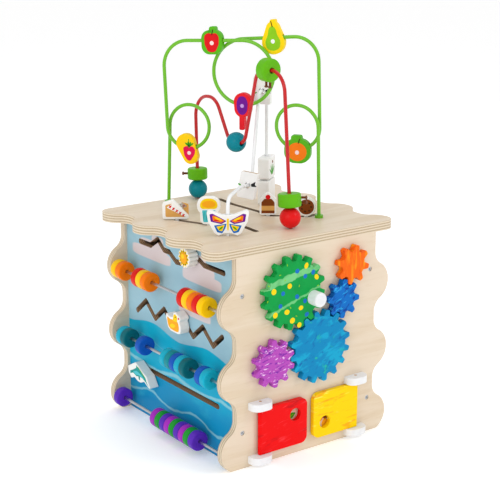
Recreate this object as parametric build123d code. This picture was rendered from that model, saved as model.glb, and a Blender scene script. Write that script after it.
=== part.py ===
from build123d import *
import math
import os

# Wooden baby activity cube: an open box of birch plywood with five activity sides.
# Frame: millimetres, +X to the right of the gear side, +Y from the gear side to the back,
# +Z up.  The origin is on the floor under the middle of the cube.

# ---------------------------------------------------------------- driving dimensions
cube_height = 350.0        # front, back and side panels
cube_depth = 346.0         # outer face of the front panel to outer face of the back panel
panel_t = 12.0
top_t = 15.5
fit = 0.1                  # radial clearance of pins, screws and rods in their holes

half_width = 141.0         # front and back panels, at the straight part of their edge
lobe_out = 29.5            # how far a lobe stands out of the straight part
lobe_pitch = 117.0
lobe_first_z = 30.5
lobe_count = 3
lobe_r = 35.0
lobe_flat = 14.0           # straight stretch between two lobes

side_recess = 5.0          # side panels sit inside the straight part of the edge

top_half_width = half_width + 20.0     # top panel, at its notches
top_lobe_out = 24.0
top_lobe_pitch = cube_depth * 0.29335   # four lobes fill each side of the top
top_lobe_r = 32.0 * cube_depth / 346.0
top_lobe_flat = 8.0
top_corner_r = 20.0

screw_z = (61.0, 288.0)
screw_shank_d = 4.0
screw_head_d = 8.0
screw_head_h = 3.0
screw_recess = 1.2
screw_bite = 24.0          # how far a screw goes into the side panel
screw_socket_d = 3.0

cleat_size = 18.0
cleat_length = 210.0
glue_room = 0.2            # between a cleat or the floor and what it is glued to
base_t = 9.0

rod_d = 5.0
rod_z = (27.4, 145.3, 263.4)
rod_socket = 6.0
rod_outside = 19.7         # from the straight part of the edge out to the rod
bead_d = 33.0
bead_w = 14.2
bead_hole_play = 0.8       # how loose a bead is on its rod
bead_edge_r = 2.5
bead_play = 0.35           # between neighbouring beads of one group

gear_module = 7.15
gear_addendum = 4.0
gear_dedendum = 5.6
gear_tooth_share = 0.43    # tooth width on the pitch circle, as a share of the pitch
gear_flank_deg = 15.0
gear_tip_r = 2.2
gear_t = 11.0
gear_gap = 1.0
mesh_slack = 0.5           # added to each centre distance
gear_pin_d = 8.0
gear_pin_head_d = 16.0
gear_pin_head_h = 3.0
gear_back_ply = 3.6
gear_head_room = 0.5
blue_centre = (18.0, 179.0)
blue_phase = 9.0
knob_d = 24.0
knob_length = 20.0
knob_edge_r = 3.0
knob_tenon_d = 10.0
knob_tenon_h = 6.0
knob_offset = (37.6, -14.6)

door_w = 96.0
door_h = 78.0
door_t = 8.0
door_gap = 1.5             # between a door and the panel
door_z = 19.0
door_middle_gap = 14.0
door_corner_r = 12.0
door_hole_d = 22.0
door_hole_in = 24.0        # from the free edge
door_hole_down = 25.0      # from the top edge, or up from the bottom edge
hinge_pin_d = 5.0
hinge_pin_depth = 10.0
hinge_play = 0.8
block_w = 40.0
block_out = 20.0
block_t = 12.0
block_round = 14.0

wire_d = 6.0
wire_socket = 12.0
tile_t = 2 * wire_d        # a tile is thick enough to hold the wire inside it
tile_edge_r = 1.2
stem_inner_r = 2.0
tile_bore_play = 3.0       # how loose a tile is on its wire
wire_bead_bore_play = 4.0
far_ball_d = 33.0
valley_ball_d = 34.0
near_ball_d = 34.5
disc_edge_r = 3.0
small_peg_d = 4.0
small_peg_out = 9.0
small_peg_sunk = 5.0
leg_block_w = 44.0
leg_block_t = 20.0
butterfly_h = 22.0         # height of the tile's middle over the top
butterfly_turn = -36.0     # direction of the tile's width, from +X
view_turn = -36.0          # the same for the standing figures
flange_d = 14.0
flange_h = 5.0

peg_d = 7.0
slot_play = 2.5            # how loose a peg is in its slot
slider_t = 18.0
slider_gap = 1.5
slider_edge_r = 1.5
sun_rays = 12
top_retainer_d = 16.0
retainer_d = 20.0
retainer_t = 5.0
stand_tile_t = 10.0

# ---------------------------------------------------------------- worked-out places
front_y = -cube_depth / 2
back_y = cube_depth / 2
inner_y = cube_depth / 2 - panel_t
side_x = half_width - side_recess          # outer face of a side panel
side_mid_x = side_x - panel_t / 2
rod_x = -(half_width + rod_outside)
bead_hole_d = rod_d + bead_hole_play
tile_bore_d = wire_d + tile_bore_play
wire_bead_bore_d = wire_d + wire_bead_bore_play
slot_w = peg_d + slot_play
side_stretch = inner_y / 161.0             # places along the wave side follow the cube's depth
top_z = cube_height + top_t


# ---------------------------------------------------------------- small helpers
def save(node, *solids):
    """Write one node's solids to its STEP file."""
    shape = solids[0] if len(solids) == 1 else Compound(children=list(solids))
    export_step(shape, f"parts/{node}.step")


def solid_of(shape):
    """The single solid inside the result of a boolean or an extrusion."""
    return shape.solids()[0]


def rod_between(start, end, diameter):
    """A round bar from one point to another."""
    a, b = Vector(*start), Vector(*end)
    return solid_of(extrude(Plane(a, z_dir=b - a) * Circle(diameter / 2), (b - a).length))


def arc_through(centre, radius, start, end):
    """The shorter arc of a circle between two of its points."""
    mid = Vector(*start) + Vector(*end) - Vector(*centre) * 2
    mid = Vector(*centre) + mid.normalized() * radius
    return ThreePointArc(start, (mid.X, mid.Y), end)


def lobe_face(edge, out, along, radius, pitch, flat):
    """One rounded lobe that blends into a straight edge at x = edge."""
    reach = (pitch - flat) / 2
    both = (reach ** 2 + out ** 2) / (2 * out)
    hollow_r = both - radius
    top_c = (edge + out - radius, along)
    parts = []
    for side in (-1, 1):
        hollow_c = (edge + hollow_r, along + side * reach)
        share = radius / both
        meet = (top_c[0] + (hollow_c[0] - top_c[0]) * share,
                top_c[1] + (hollow_c[1] - top_c[1]) * share)
        foot = (edge, along + side * reach)
        parts.append((hollow_c, meet, foot))
    (low_c, low_meet, low_foot), (high_c, high_meet, high_foot) = parts
    inside = edge - out
    edges = [
        Line((inside, low_foot[1]), low_foot),
        arc_through(low_c, hollow_r, low_foot, low_meet),
        ThreePointArc(low_meet, (edge + out, along), high_meet),
        arc_through(high_c, hollow_r, high_meet, high_foot),
        Line(high_foot, (inside, high_foot[1])),
        Line((inside, high_foot[1]), (inside, low_foot[1])),
    ]
    return make_face(edges)


# ---------------------------------------------------------------- box panels
def wavy_panel():
    """Outline of the front and back panels: x across, y up from the floor."""
    shape = Pos(0, cube_height / 2) * Rectangle(2 * half_width, cube_height)
    for i in range(lobe_count):
        z = lobe_first_z + i * lobe_pitch
        lobe = lobe_face(half_width, lobe_out, z, lobe_r, lobe_pitch, lobe_flat)
        shape = shape + lobe + mirror(lobe, Plane.YZ)
    room = Pos(0, cube_height / 2) * Rectangle(4 * half_width, cube_height)
    return shape & room


def top_outline():
    """Outline of the top: straight front and back edges, four lobes on each side."""
    shape = Rectangle(2 * top_half_width, cube_depth)
    for i in range(4):
        y = (i - 1.5) * top_lobe_pitch
        lobe = lobe_face(top_half_width, top_lobe_out, y, top_lobe_r, top_lobe_pitch, top_lobe_flat)
        shape = shape + lobe + mirror(lobe, Plane.YZ)
    shape = shape & Rectangle(4 * top_half_width, cube_depth)
    corners = [v for v in shape.vertices()
               if abs(abs(v.Y) - cube_depth / 2) < 0.01 and abs(v.X) > top_half_width]
    return fillet(corners, top_corner_r)


def screw_cut(x, z, side):
    """The hole for one screw through the front (side -1) or back (side 1) panel."""
    face = side * cube_depth / 2
    shank = rod_between((x, face, z), (x, face - side * panel_t * 1.5, z), screw_shank_d + 2 * fit)
    head = rod_between((x, face, z), (x, face - side * (screw_head_h + screw_recess), z),
                       screw_head_d + 2 * fit)
    return shank + head


def end_panel(side):
    """Front (side -1) or back (side 1) panel with its screw holes and rod sockets."""
    start_y = -inner_y if side < 0 else back_y
    plane = Plane(origin=(0, start_y, 0), x_dir=(1, 0, 0), z_dir=(0, -1, 0))
    panel = extrude(plane * wavy_panel(), panel_t)
    for x in (-side_mid_x, side_mid_x):
        for z in screw_z:
            panel -= screw_cut(x, z, side)
    for z in rod_z:
        panel -= rod_between((rod_x, 0, z), (rod_x, side * (inner_y + rod_socket), z), rod_d + 2 * fit)
    if side < 0:
        for centre, _, _ in gears.values():
            panel -= along_y(centre, -inner_y + 1, panel_t + 2, gear_pin_d + 2 * fit)
    return solid_of(panel)


def round_ended_cut(points, width, plane, depth):
    """A slot of even width along straight runs between points, cut to a depth."""
    cut = None
    for a, b in zip(points[:-1], points[1:]):
        run = Vector(b[0] - a[0], b[1] - a[1])
        angle = math.degrees(math.atan2(run.Y, run.X))
        middle = Pos((a[0] + b[0]) / 2, (a[1] + b[1]) / 2)
        slot = middle * Rot(0, 0, angle) * SlotCenterToCenter(run.length, width)
        cut = slot if cut is None else cut + slot
    return extrude(plane * cut, depth)


# slot routes on the wave side of a cube of the usual depth, as (distance towards the gear side,
# height)
sun_slot = [(-117, 315), (-84, 315), (-60, 330), (-42, 316), (-25, 316), (-5, 304), (18, 306),
            (52, 328), (77, 317), (132, 317)]
duck_slot = [(-131, 188), (-102, 212), (-73, 188), (-44, 212), (-15, 188), (14, 212), (43, 188),
             (72, 212), (101, 188), (127, 210)]
fish_slot = [(-112, 88), (113, 88)]

# slot routes in the top, as (x, y)
left_top_slot = [(-104, 84), (-98, 58), (-114, 34), (-89, -23), (-50, -64), (-52, -102)]
right_top_slot = [(30, 118), (26, 72), (31, 2), (27, -30), (76, -74), (98, -70)]


def side_panel(side, routes=()):
    """Side panel between the front and back panels, with the slots that it carries."""
    panel = Pos(side * side_mid_x, 0, cube_height / 2) * Box(panel_t, 2 * inner_y, cube_height)
    plane = Plane(origin=(side * (side_x - panel_t - 1), 0, 0), x_dir=(0, side, 0), z_dir=(side, 0, 0))
    for route in routes:
        places = [(u * side_stretch, z) for u, z in route]
        panel -= round_ended_cut(places, slot_w, plane, panel_t + 2)
    for end in (-1, 1):
        for z in screw_z:
            panel -= rod_between((side * side_mid_x, end * (inner_y + 1), z),
                                 (side * side_mid_x, end * (inner_y - screw_bite - 1), z),
                                 screw_shank_d + 2 * fit)
    return solid_of(panel)


def base_panel():
    """The floor of the box, glued between the four panels."""
    length = 2 * (side_x - panel_t - glue_room)
    return Pos(0, 0, base_t / 2) * Box(length, 2 * (inner_y - glue_room), base_t)


def top_panel(wire_routes):
    """The top, with its two slots and a blind socket for each wire end."""
    panel = Pos(0, 0, cube_height) * extrude(top_outline(), top_t)
    plane = Plane.XY.offset(cube_height - 1)
    for route in (left_top_slot, right_top_slot):
        panel -= round_ended_cut(route, slot_w, plane, top_t + 2)
    for route in wire_routes:
        for bar in wire_feet(route, wire_d + 2 * fit):
            panel -= bar
    return solid_of(panel)


def cleat(side):
    """A square batten under the top, glued to the front or back panel."""
    y = side * (inner_y - cleat_size / 2 - glue_room)
    z = cube_height - cleat_size / 2 - glue_room
    return Pos(0, y, z) * Box(cleat_length, cleat_size, cleat_size)


def screw(x, z, side):
    """A socket-head screw through an end panel into the edge of a side panel."""
    seat = side * (cube_depth / 2 - screw_recess)
    under = seat - side * screw_head_h
    tip = side * (inner_y - screw_bite)
    body = rod_between((x, seat, z), (x, under, z), screw_head_d) + rod_between(
        (x, under, z), (x, tip, z), screw_shank_d)
    socket_floor = seat - side * screw_head_h * 0.6
    return solid_of(body - rod_between((x, seat + side, z), (x, socket_floor, z), screw_socket_d))


# ---------------------------------------------------------------- abacus
def abacus_rod(z):
    """A steel rod held in the sockets of the front and back panels."""
    reach = inner_y + rod_socket - 0.2
    return rod_between((rod_x, -reach, z), (rod_x, reach, z), rod_d)


def bead(near_y, z):
    """One disc bead whose near face is at near_y."""
    disc = rod_between((rod_x, near_y, z), (rod_x, near_y + bead_w, z), bead_d)
    rims = disc.edges().filter_by(GeomType.CIRCLE)
    disc = fillet(rims, bead_edge_r)
    return solid_of(disc - rod_between((rod_x, near_y - 1, z), (rod_x, near_y + bead_w + 1, z),
                                       bead_hole_d))


# each group that slides along its rod together: name, rod, near face of the first bead in a
# cube of the usual depth, beads
bead_groups = [
    ("upper_near_beads", 2, -128.0, 5),
    ("upper_middle_beads", 2, 41.4, 3),
    ("upper_far_beads", 2, 122.3, 2),
    ("middle_near_beads", 1, -133.4, 2),
    ("middle_centre_beads", 1, -73.2, 5),
    ("middle_lone_bead", 1, 62.0, 1),
    ("middle_far_beads", 1, 111.2, 2),
    ("lower_near_beads", 0, -97.2, 9),
    ("lower_far_bead", 0, 138.8, 1),
]


def bead_group(rod, near_y, count):
    """Neighbouring beads on one rod."""
    first = near_y * side_stretch
    return [bead(first + i * (bead_w + bead_play), rod_z[rod]) for i in range(count)]


# ---------------------------------------------------------------- gears
def gear_outline(teeth, phase):
    """Chunky round-cornered gear outline about the origin, one tooth centred on the phase angle."""
    pitch_r = gear_module * teeth / 2
    tip_r = pitch_r + gear_addendum
    root_r = pitch_r - gear_dedendum
    half_pitch = gear_tooth_share * math.pi * gear_module / 2
    lean = math.tan(math.radians(gear_flank_deg))
    half_tip = half_pitch - gear_addendum * lean
    half_root = half_pitch + gear_dedendum * lean
    tooth = Polyline((root_r - 4, -half_root), (root_r - 1, -half_root), (tip_r, -half_tip),
                     (tip_r, half_tip), (root_r - 1, half_root), (root_r - 4, half_root), close=True)
    tooth = make_face(tooth.edges())
    tips = [v for v in tooth.vertices() if v.X > tip_r - 0.01]
    tooth = fillet(tips, gear_tip_r)
    outline = Circle(root_r)
    for i in range(teeth):
        outline = outline + Rot(0, 0, phase + i * 360 / teeth) * tooth
    return outline


def mesh_phase(teeth, phase, line_deg, other_teeth):
    """Phase of a gear that meshes with another one in the direction line_deg."""
    share = ((line_deg - phase) * teeth / 360) % 1
    return line_deg + 180 - (0.5 - share) * 360 / other_teeth


def next_centre(centre, teeth, line_deg, other_teeth):
    """Centre of a gear that meshes with another one in the direction line_deg."""
    reach = gear_module * (teeth + other_teeth) / 2 + mesh_slack
    return (centre[0] + reach * math.cos(math.radians(line_deg)),
            centre[1] + reach * math.sin(math.radians(line_deg)))


big_teeth, purple_teeth, small_teeth = 16, 10, 8
to_green, to_purple, to_small_blue, to_orange = 118.2, 186.2, 57.0, 70.0
green_centre = next_centre(blue_centre, big_teeth, to_green, big_teeth)
purple_centre = next_centre(blue_centre, big_teeth, to_purple, purple_teeth)
small_blue_centre = next_centre(blue_centre, big_teeth, to_small_blue, small_teeth)
orange_centre = next_centre(small_blue_centre, small_teeth, to_orange, small_teeth)
small_blue_phase = mesh_phase(big_teeth, blue_phase, to_small_blue, small_teeth)
gears = {
    "green_gear": (green_centre, big_teeth, mesh_phase(big_teeth, blue_phase, to_green, big_teeth)),
    "blue_gear": (blue_centre, big_teeth, blue_phase),
    "purple_gear": (purple_centre, purple_teeth,
                    mesh_phase(big_teeth, blue_phase, to_purple, purple_teeth)),
    "small_blue_gear": (small_blue_centre, small_teeth, small_blue_phase),
    "orange_gear": (orange_centre, small_teeth,
                    mesh_phase(small_teeth, small_blue_phase, to_orange, small_teeth)),
}
gear_back_y = front_y - gear_gap
gear_front_y = gear_back_y - gear_t
knob_at = (green_centre[0] + knob_offset[0], green_centre[1] + knob_offset[1])


def along_y(centre, start_y, length, diameter):
    """A round bar from start_y towards the front of the gear side."""
    return rod_between((centre[0], start_y, centre[1]), (centre[0], start_y - length, centre[1]), diameter)


def gear(name):
    """A two-ply gear that holds the head of its pin captive."""
    centre, teeth, phase = gears[name]
    plane = Plane(origin=(centre[0], gear_back_y, centre[1]), x_dir=(1, 0, 0), z_dir=(0, -1, 0))
    wheel = extrude(plane * gear_outline(teeth, phase), gear_t)
    wheel -= along_y(centre, gear_back_y + 1, gear_back_ply + 1.5, gear_pin_d + 2 * fit)
    wheel -= along_y(centre, gear_back_y - gear_back_ply, gear_pin_head_h + gear_head_room,
                     gear_pin_head_d + 2 * gear_head_room)
    if name == "green_gear":
        wheel -= along_y(knob_at, gear_front_y + knob_tenon_h, knob_tenon_h + 1, knob_tenon_d + 2 * fit)
    return solid_of(wheel)


def gear_pin(centre):
    """A headed dowel, glued in the front panel, that a gear turns on."""
    head_y = gear_back_y - gear_back_ply - gear_head_room / 2
    shank = along_y(centre, -inner_y, -inner_y - head_y, gear_pin_d)
    return solid_of(shank + along_y(centre, head_y, gear_pin_head_h, gear_pin_head_d))


def gear_knob():
    """The round handle that turns the gear train."""
    grip = along_y(knob_at, gear_front_y, knob_length, knob_d)
    rim = [e for e in grip.edges().filter_by(GeomType.CIRCLE)
           if abs(e.center().Y - gear_front_y + knob_length) < 0.1]
    grip = fillet(rim, knob_edge_r)
    return solid_of(grip + along_y(knob_at, gear_front_y + knob_tenon_h - 0.3, knob_tenon_h, knob_tenon_d))


# ---------------------------------------------------------------- doors
door_axis_y = front_y - door_gap - door_t / 2
door_outer_x = door_middle_gap / 2 + door_w
door_axis_x = door_outer_x - door_t / 2
door_top_z = door_z + door_h


def door(side):
    """A little door hinged at its outer edge: side -1 is the left one."""
    free_x = side * door_middle_gap / 2
    hinge_x = side * door_axis_x
    middle = Pos((free_x + hinge_x) / 2, door_z + door_h / 2)
    face = middle * Rectangle(abs(hinge_x - free_x), door_h)
    free = [v for v in face.vertices() if abs(v.X - free_x) < 0.01]
    face = fillet(free, door_corner_r)
    plane = Plane(origin=(0, door_axis_y + door_t / 2, 0), x_dir=(1, 0, 0), z_dir=(0, -1, 0))
    leaf = extrude(plane * face, door_t)
    leaf += rod_between((hinge_x, door_axis_y, door_z), (hinge_x, door_axis_y, door_top_z), door_t)
    hole_z = door_top_z - door_hole_down if side < 0 else door_z + door_hole_down
    hole_x = free_x + side * door_hole_in
    leaf -= along_y((hole_x, hole_z), door_axis_y + door_t, 2 * door_t, door_hole_d)
    for z, way in ((door_z, 1), (door_top_z, -1)):
        leaf -= rod_between((hinge_x, door_axis_y, z - way), (hinge_x, door_axis_y, z + way * (
            hinge_pin_depth + 1)), hinge_pin_d + 2 * fit * 0.8)
    return solid_of(leaf)


def hinge_block(side, upper):
    """A rounded block, glued to the front panel, that holds one hinge pin."""
    low = door_top_z + hinge_play if upper else door_z - hinge_play - block_t
    plan = Pos(side * door_axis_x, front_y - block_out / 2) * Rectangle(block_w, block_out)
    outer = [v for v in plan.vertices() if v.Y < front_y - 1]
    plan = fillet(outer, block_round)
    block = Pos(0, 0, low) * extrude(plan, block_t)
    return solid_of(block - rod_between((side * door_axis_x, door_axis_y, low - 1), (
        side * door_axis_x, door_axis_y, low + block_t + 1), hinge_pin_d + 2 * fit))


def hinge_pin(side, upper):
    """A dowel through a hinge block into the edge of the door."""
    x = side * door_axis_x
    if upper:
        ends = (door_top_z - hinge_pin_depth, door_top_z + hinge_play + block_t)
    else:
        ends = (door_z - hinge_play - block_t, door_z + hinge_pin_depth)
    return rod_between((x, door_axis_y, ends[0]), (x, door_axis_y, ends[1]), hinge_pin_d)


# ---------------------------------------------------------------- wires on the top
class WirePlane:
    """An upright plane through a point of the top; s runs along it, h is height over the top."""

    def __init__(self, origin, direction_deg):
        self.origin = origin
        self.dx = math.cos(math.radians(direction_deg))
        self.dy = math.sin(math.radians(direction_deg))

    def point(self, s, h, w=0.0):
        """The point at s and h, shifted w towards the plane's viewing side."""
        return Vector(self.origin[0] + self.dx * s + self.dy * w,
                      self.origin[1] + self.dy * s - self.dx * w, top_z + h)

    def frame(self, s, h, w=0.0, tilt_deg=0.0):
        """A local plane there: x along the wire's run, y up and z towards the viewing side."""
        c, k = math.cos(math.radians(tilt_deg)), math.sin(math.radians(tilt_deg))
        return Plane(origin=self.point(s, h, w), x_dir=(self.dx * c, self.dy * c, k),
                     z_dir=(self.dy, -self.dx, 0))


def loop_corners(loop, first_deg, count, w_start, w_end):
    """Corners of a polygon round a loop of wire, drifting sideways so the wire clears itself."""
    s, h, radius = loop
    step = 360 / count
    reach = radius / math.cos(math.radians(step / 2))
    corners = []
    for i in range(count):
        angle = math.radians(first_deg - i * step)
        share = (i + 0.5) / count
        corners.append((s + reach * math.cos(angle), h + reach * math.sin(angle),
                        w_start + (w_end - w_start) * share, radius * 0.97))
    return corners


def wire_route(plane, corners):
    """The corner points of a wire, both ends at the bottom of their sockets in the top."""
    heights = [0.2 - wire_socket] + [c[1] for c in corners[1:-1]] + [0.2 - wire_socket]
    return [plane.point(c[0], h, c[2]) for c, h in zip(corners, heights)]


def bent_wire(route, corners):
    """A wire along straight runs and round bends."""
    path = FilletPolyline(*route, radius=[c[3] for c in corners[1:-1]])
    section = Plane(path @ 0, z_dir=path % 0) * Circle(wire_d / 2)
    return solid_of(sweep(section, path=path))


def leg_direction(route, end):
    """Unit direction up the straight leg at the start (end 0) or the end (end -1) of a wire."""
    foot, knee = (route[0], route[1]) if end == 0 else (route[-1], route[-2])
    return (knee - foot).normalized()


def leg_point(route, end, h):
    """The point on that leg at height h over the top."""
    up = leg_direction(route, end)
    foot = route[end]
    return foot + up * ((top_z + h - foot.Z) / up.Z)


def wire_feet(route, diameter):
    """Bars that run along both legs of a wire, from under its ends to just over the top."""
    bars = []
    for end in (0, -1):
        bars.append(rod_between(leg_point(route, end, -wire_socket), leg_point(route, end, 12), diameter))
    return bars


green_plane = WirePlane((14.0, 28.3), -56.1)
red_plane = WirePlane((4.0, 13.0), -90.0)
white_plane = WirePlane((-7.5, -22.5), 38.1)

wire_shift = wire_d        # half the sideways distance between crossing stretches
left_loop = (-96.0, 138.5, 37.0)       # s, height and radius
right_loop = (98.5, 149.0, 37.0)
top_loop = (3.0, 235.0, 54.0)

green_corners = (
    [(-139.0, 0.0, -wire_shift, 0.0)]
    + loop_corners(left_loop, 157.5, 8, -wire_shift, wire_shift)
    + [(-139.5, 283.0, wire_shift, 44.0)]
    + loop_corners(top_loop, 75, 12, wire_shift, -wire_shift)
    + [(130.5, 299.5, -wire_shift, 40.0)]
    + loop_corners(right_loop, -22.5, 8, -wire_shift, wire_shift)
    + [(139.5, 0.0, wire_shift, 0.0)]
)
red_corners = [(-134.0, 0.0, 0.0, 0.0), (-140.5, 182.5, 0.0, 38.0), (-78.0, 187.0, 0.0, 34.0),
               (-38.0, 118.0, 0.0, 20.0), (6.0, 119.0, 0.0, 20.0), (43.0, 248.5, 0.0, 26.0),
               (113.0, 250.0, 0.0, 34.0), (134.5, 0.0, 0.0, 0.0)]
white_corners = [(-122.0, 0.0, 0.0, 0.0), (-123.0, 61.0, 0.0, 17.0), (-52.0, 63.0, 0.0, 60.0),
                 (13.0, 54.0, 0.0, 14.0), (60.0, 201.0, 0.0, 14.0), (109.0, 202.0, 0.0, 14.0),
                 (109.0, 0.0, 0.0, 0.0)]


green_route = wire_route(green_plane, green_corners)
red_route = wire_route(red_plane, red_corners)
white_route = wire_route(white_plane, white_corners)


def flange(route, end):
    """A collar on the top round the foot of a wire."""
    at = leg_point(route, end, 0)
    collar = rod_between(at, at + Vector(0, 0, flange_h), flange_d)
    return solid_of(collar - wire_feet(route, wire_d + 2 * fit)[end])


# ---------------------------------------------------------------- tiles and beads on the wires
def rounded_plate(outline, thickness, edge_r):
    """A plate about the local XY plane with both rims rounded over."""
    plate = solid_of(extrude(outline, thickness / 2, both=True))
    levels = plate.edges().group_by(Axis.Z)
    return solid_of(fillet(levels[0] + levels[-1], edge_r))


def tile_on_run(outline, plane, s, h, w=0.0, tilt_deg=0.0):
    """A tile threaded edge to edge on a straight run of wire."""
    tile = rounded_plate(outline, tile_t, tile_edge_r)
    tile -= Rot(0, 90, 0) * Cylinder(tile_bore_d / 2, 200)
    return plane.frame(s, h, w, tilt_deg).location * solid_of(tile)


def tile_on_loop(outline, plane, loop, w, slope_deg, turn_deg=0.0):
    """A tile threaded edge to edge low on a loop; the slope follows the loop's sideways drift."""
    s, h, radius = loop
    tile = Pos(0, -radius, 0) * rounded_plate(outline, tile_t, tile_edge_r)
    tile -= Torus(radius, tile_bore_d / 2)
    place = plane.frame(s, h, w).location * Rot(0, slope_deg, 0) * Rot(0, 0, turn_deg)
    return place * solid_of(tile)


def with_stem(outline, x, y, width, height):
    """An outline with a stem across its edge; growing and shrinking it rounds the inner corners."""
    whole = outline + Pos(x, y) * RectangleRounded(width, height, min(width, height) * 0.3)
    return offset(offset(whole, stem_inner_r), -stem_inner_r)


def apple_outline():
    return with_stem(Pos(0, -3) * RectangleRounded(37, 40, 14), 2, 16, 12, 14)


def pear_outline():
    ends = [Pos(0, -8) * Circle(19.5), Pos(0, 15) * Circle(11)]
    return with_stem(make_hull(ends[0].edges() + ends[1].edges()), 1, 24, 10, 11)


def plum_outline():
    ends = [Pos(0, 5) * Circle(15.5), Pos(0, -6) * Circle(14.5)]
    return with_stem(make_hull(ends[0].edges() + ends[1].edges()), -1, -29, 9, 26)


def strawberry_outline():
    ends = [Pos(-4, 9) * Circle(16.5), Pos(5, -13) * Circle(13.5)]
    return make_hull(ends[0].edges() + ends[1].edges())


def orange_outline():
    return with_stem(Pos(0, -3) * RectangleRounded(45, 41, 18), -2, 17, 18, 13)


def butterfly_outline():
    """Four wings; the body between them is lower than the wing tips."""
    half = [(0, 13), (9, 12), (30, 20), (33.5, 16), (31, 1), (21, -17), (15, -21), (6, -17), (0, -17)]
    points = half + [(-x, y) for x, y in reversed(half[1:-1])]
    wings = make_face(Polyline(*points, close=True).edges())
    return fillet([v for v in wings.vertices() if abs(v.X) > 1], 2.4)


def butterfly():
    """A tile on an upright run, turned to face a child in front of the corner."""
    tile = rounded_plate(butterfly_outline(), tile_t, 1.0)
    tile -= Rot(90, 0, 0) * Cylinder(tile_bore_d / 2, 100)
    at = leg_point(white_route, 0, butterfly_h)
    across = (math.cos(math.radians(butterfly_turn)), math.sin(math.radians(butterfly_turn)), 0)
    plane = Plane(at, x_dir=across, z_dir=(across[1], -across[0], 0))
    return plane.location * solid_of(tile)


def cross_tile(s, h, width, height, tilt_deg, roll_deg):
    """A tile threaded through its face, standing across the white wire."""
    plate = rounded_plate(RectangleRounded(width, height, 3), tile_t, tile_edge_r)
    plate -= Cylinder(tile_bore_d / 2 + 0.5, 40)
    place = white_plane.frame(s, h, 0, tilt_deg).location * Rot(0, 90, 0) * Rot(0, 0, 90 + roll_deg)
    return place * solid_of(plate)


def leg_block(h, height):
    """A thick block threaded upright on the far leg of the white wire."""
    outline = RectangleRounded(leg_block_w, height, 4)
    block = rounded_plate(outline, leg_block_t, 1.5)
    block -= Rot(90, 0, 0) * Cylinder(tile_bore_d / 2, 200)
    return white_plane.frame(white_corners[-1][0], h + height / 2).location * solid_of(block)


def ball_on_leg(route, end, h, diameter):
    """A ball on a leg of a wire, its lowest point h over the top."""
    up = leg_direction(route, end)
    at = leg_point(route, end, h + diameter / 2)
    ball = Pos(*at) * Sphere(diameter / 2)
    return solid_of(ball - rod_between(at - up * diameter, at + up * diameter, wire_bead_bore_d))


def wire_disc(at, way, diameter, width, bore):
    """A disc bead about a point, its axis along the wire."""
    disc = rod_between(at - way * (width / 2), at + way * (width / 2), diameter)
    disc = fillet(disc.edges().filter_by(GeomType.CIRCLE), disc_edge_r)
    return solid_of(disc - rod_between(at - way * width, at + way * width, bore))


def pegged(disc, pegs):
    """A disc bead with round pegs glued into it; each peg is a point and a direction."""
    solids = []
    for start, way in pegs:
        bottom = start - way * (small_peg_sunk + 0.2)
        disc = disc - rod_between(bottom, start + way * 4, small_peg_d + 2 * fit)
        solids.append(rod_between(start - way * small_peg_sunk, start + way * small_peg_out, small_peg_d))
    return [solid_of(disc)] + solids


def disc_on_leg(route, end, h, diameter, width):
    """The middle and the direction of a disc bead on a leg, its lower face h over the top."""
    return leg_point(route, end, h + width / 2), leg_direction(route, end)


# ---------------------------------------------------------------- sliders
def side_frame(u, z, proud):
    """A local plane on the wave side: x towards the gear side, y up, z outwards."""
    return Plane(origin=(-side_x - proud, -u, z), x_dir=(0, -1, 0), z_dir=(-1, 0, 0))


def side_slider(outline, u, z):
    """A figure on a peg through the wave side, and the disc that keeps the peg in its slot."""
    figure = Pos(0, 0, slider_t / 2) * rounded_plate(outline, slider_t, slider_edge_r)
    reach = slider_gap + panel_t + slider_gap + retainer_t
    peg = Pos(0, 0, -reach / 2 + 0.5) * Cylinder(peg_d / 2, reach + 1)
    disc = Cylinder(retainer_d / 2, retainer_t) - Cylinder(peg_d / 2 + fit, retainer_t + 1)
    disc = Pos(0, 0, retainer_t / 2 - reach) * disc
    place = side_frame(u * side_stretch, z, slider_gap).location
    return [place * solid_of(figure + peg), place * solid_of(disc)]


def sun_outline():
    sun = Circle(13.5)
    for i in range(sun_rays):
        sun = sun + Rot(0, 0, i * 360 / sun_rays) * Pos(13.4, 0) * Circle(3.4)
    return sun


def duck_outline():
    """A duck seen from the side, its head towards the gear side."""
    corners = [(-16, 13), (-17, 5), (-11, -11), (-3, -15.5), (18, -16), (25.5, -14), (27.5, -7),
               (26, 0.5), (23, 6), (27, 11), (24.5, 15.5), (18.5, 18), (12, 20.5), (6, 18), (3.5, 9.5),
               (-9, 9)]
    duck = make_face(Polyline(*corners, close=True).edges())
    return fillet(duck.vertices(), 2)


def fish_outline():
    """A leaping fish, its tail down towards the gear side."""
    corners = [(-32, -0.5), (-6, 13.4), (3, 9), (17, 1.5), (29.5, -3), (35, -12), (44, -24),
               (33, -20.5), (21, -14.5), (10, -20), (1, -20), (-11, -15.5), (-21, -20), (-29.5, -12)]
    fish = make_face(Polyline(*corners, close=True).edges())
    return fillet(fish.vertices(), 2)


def top_slider(outline, x, y, low):
    """A standing figure on a peg through the top, and the disc under the top."""
    figure = rounded_plate(outline, stand_tile_t, tile_edge_r)
    across = (math.cos(math.radians(view_turn)), math.sin(math.radians(view_turn)), 0)
    plane = Plane((x, y, top_z + slider_gap - low), x_dir=across, z_dir=(across[1], -across[0], 0))
    figure = plane.location * figure
    foot_z = cube_height - slider_gap - retainer_t
    peg = rod_between((x, y, foot_z), (x, y, top_z + slider_gap + 4), peg_d)
    disc = rod_between((x, y, foot_z), (x, y, foot_z + retainer_t), top_retainer_d)
    disc = disc - rod_between((x, y, foot_z - 1), (x, y, foot_z + retainer_t + 1), peg_d + 2 * fit)
    return [solid_of(figure + peg), solid_of(disc)]


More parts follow.
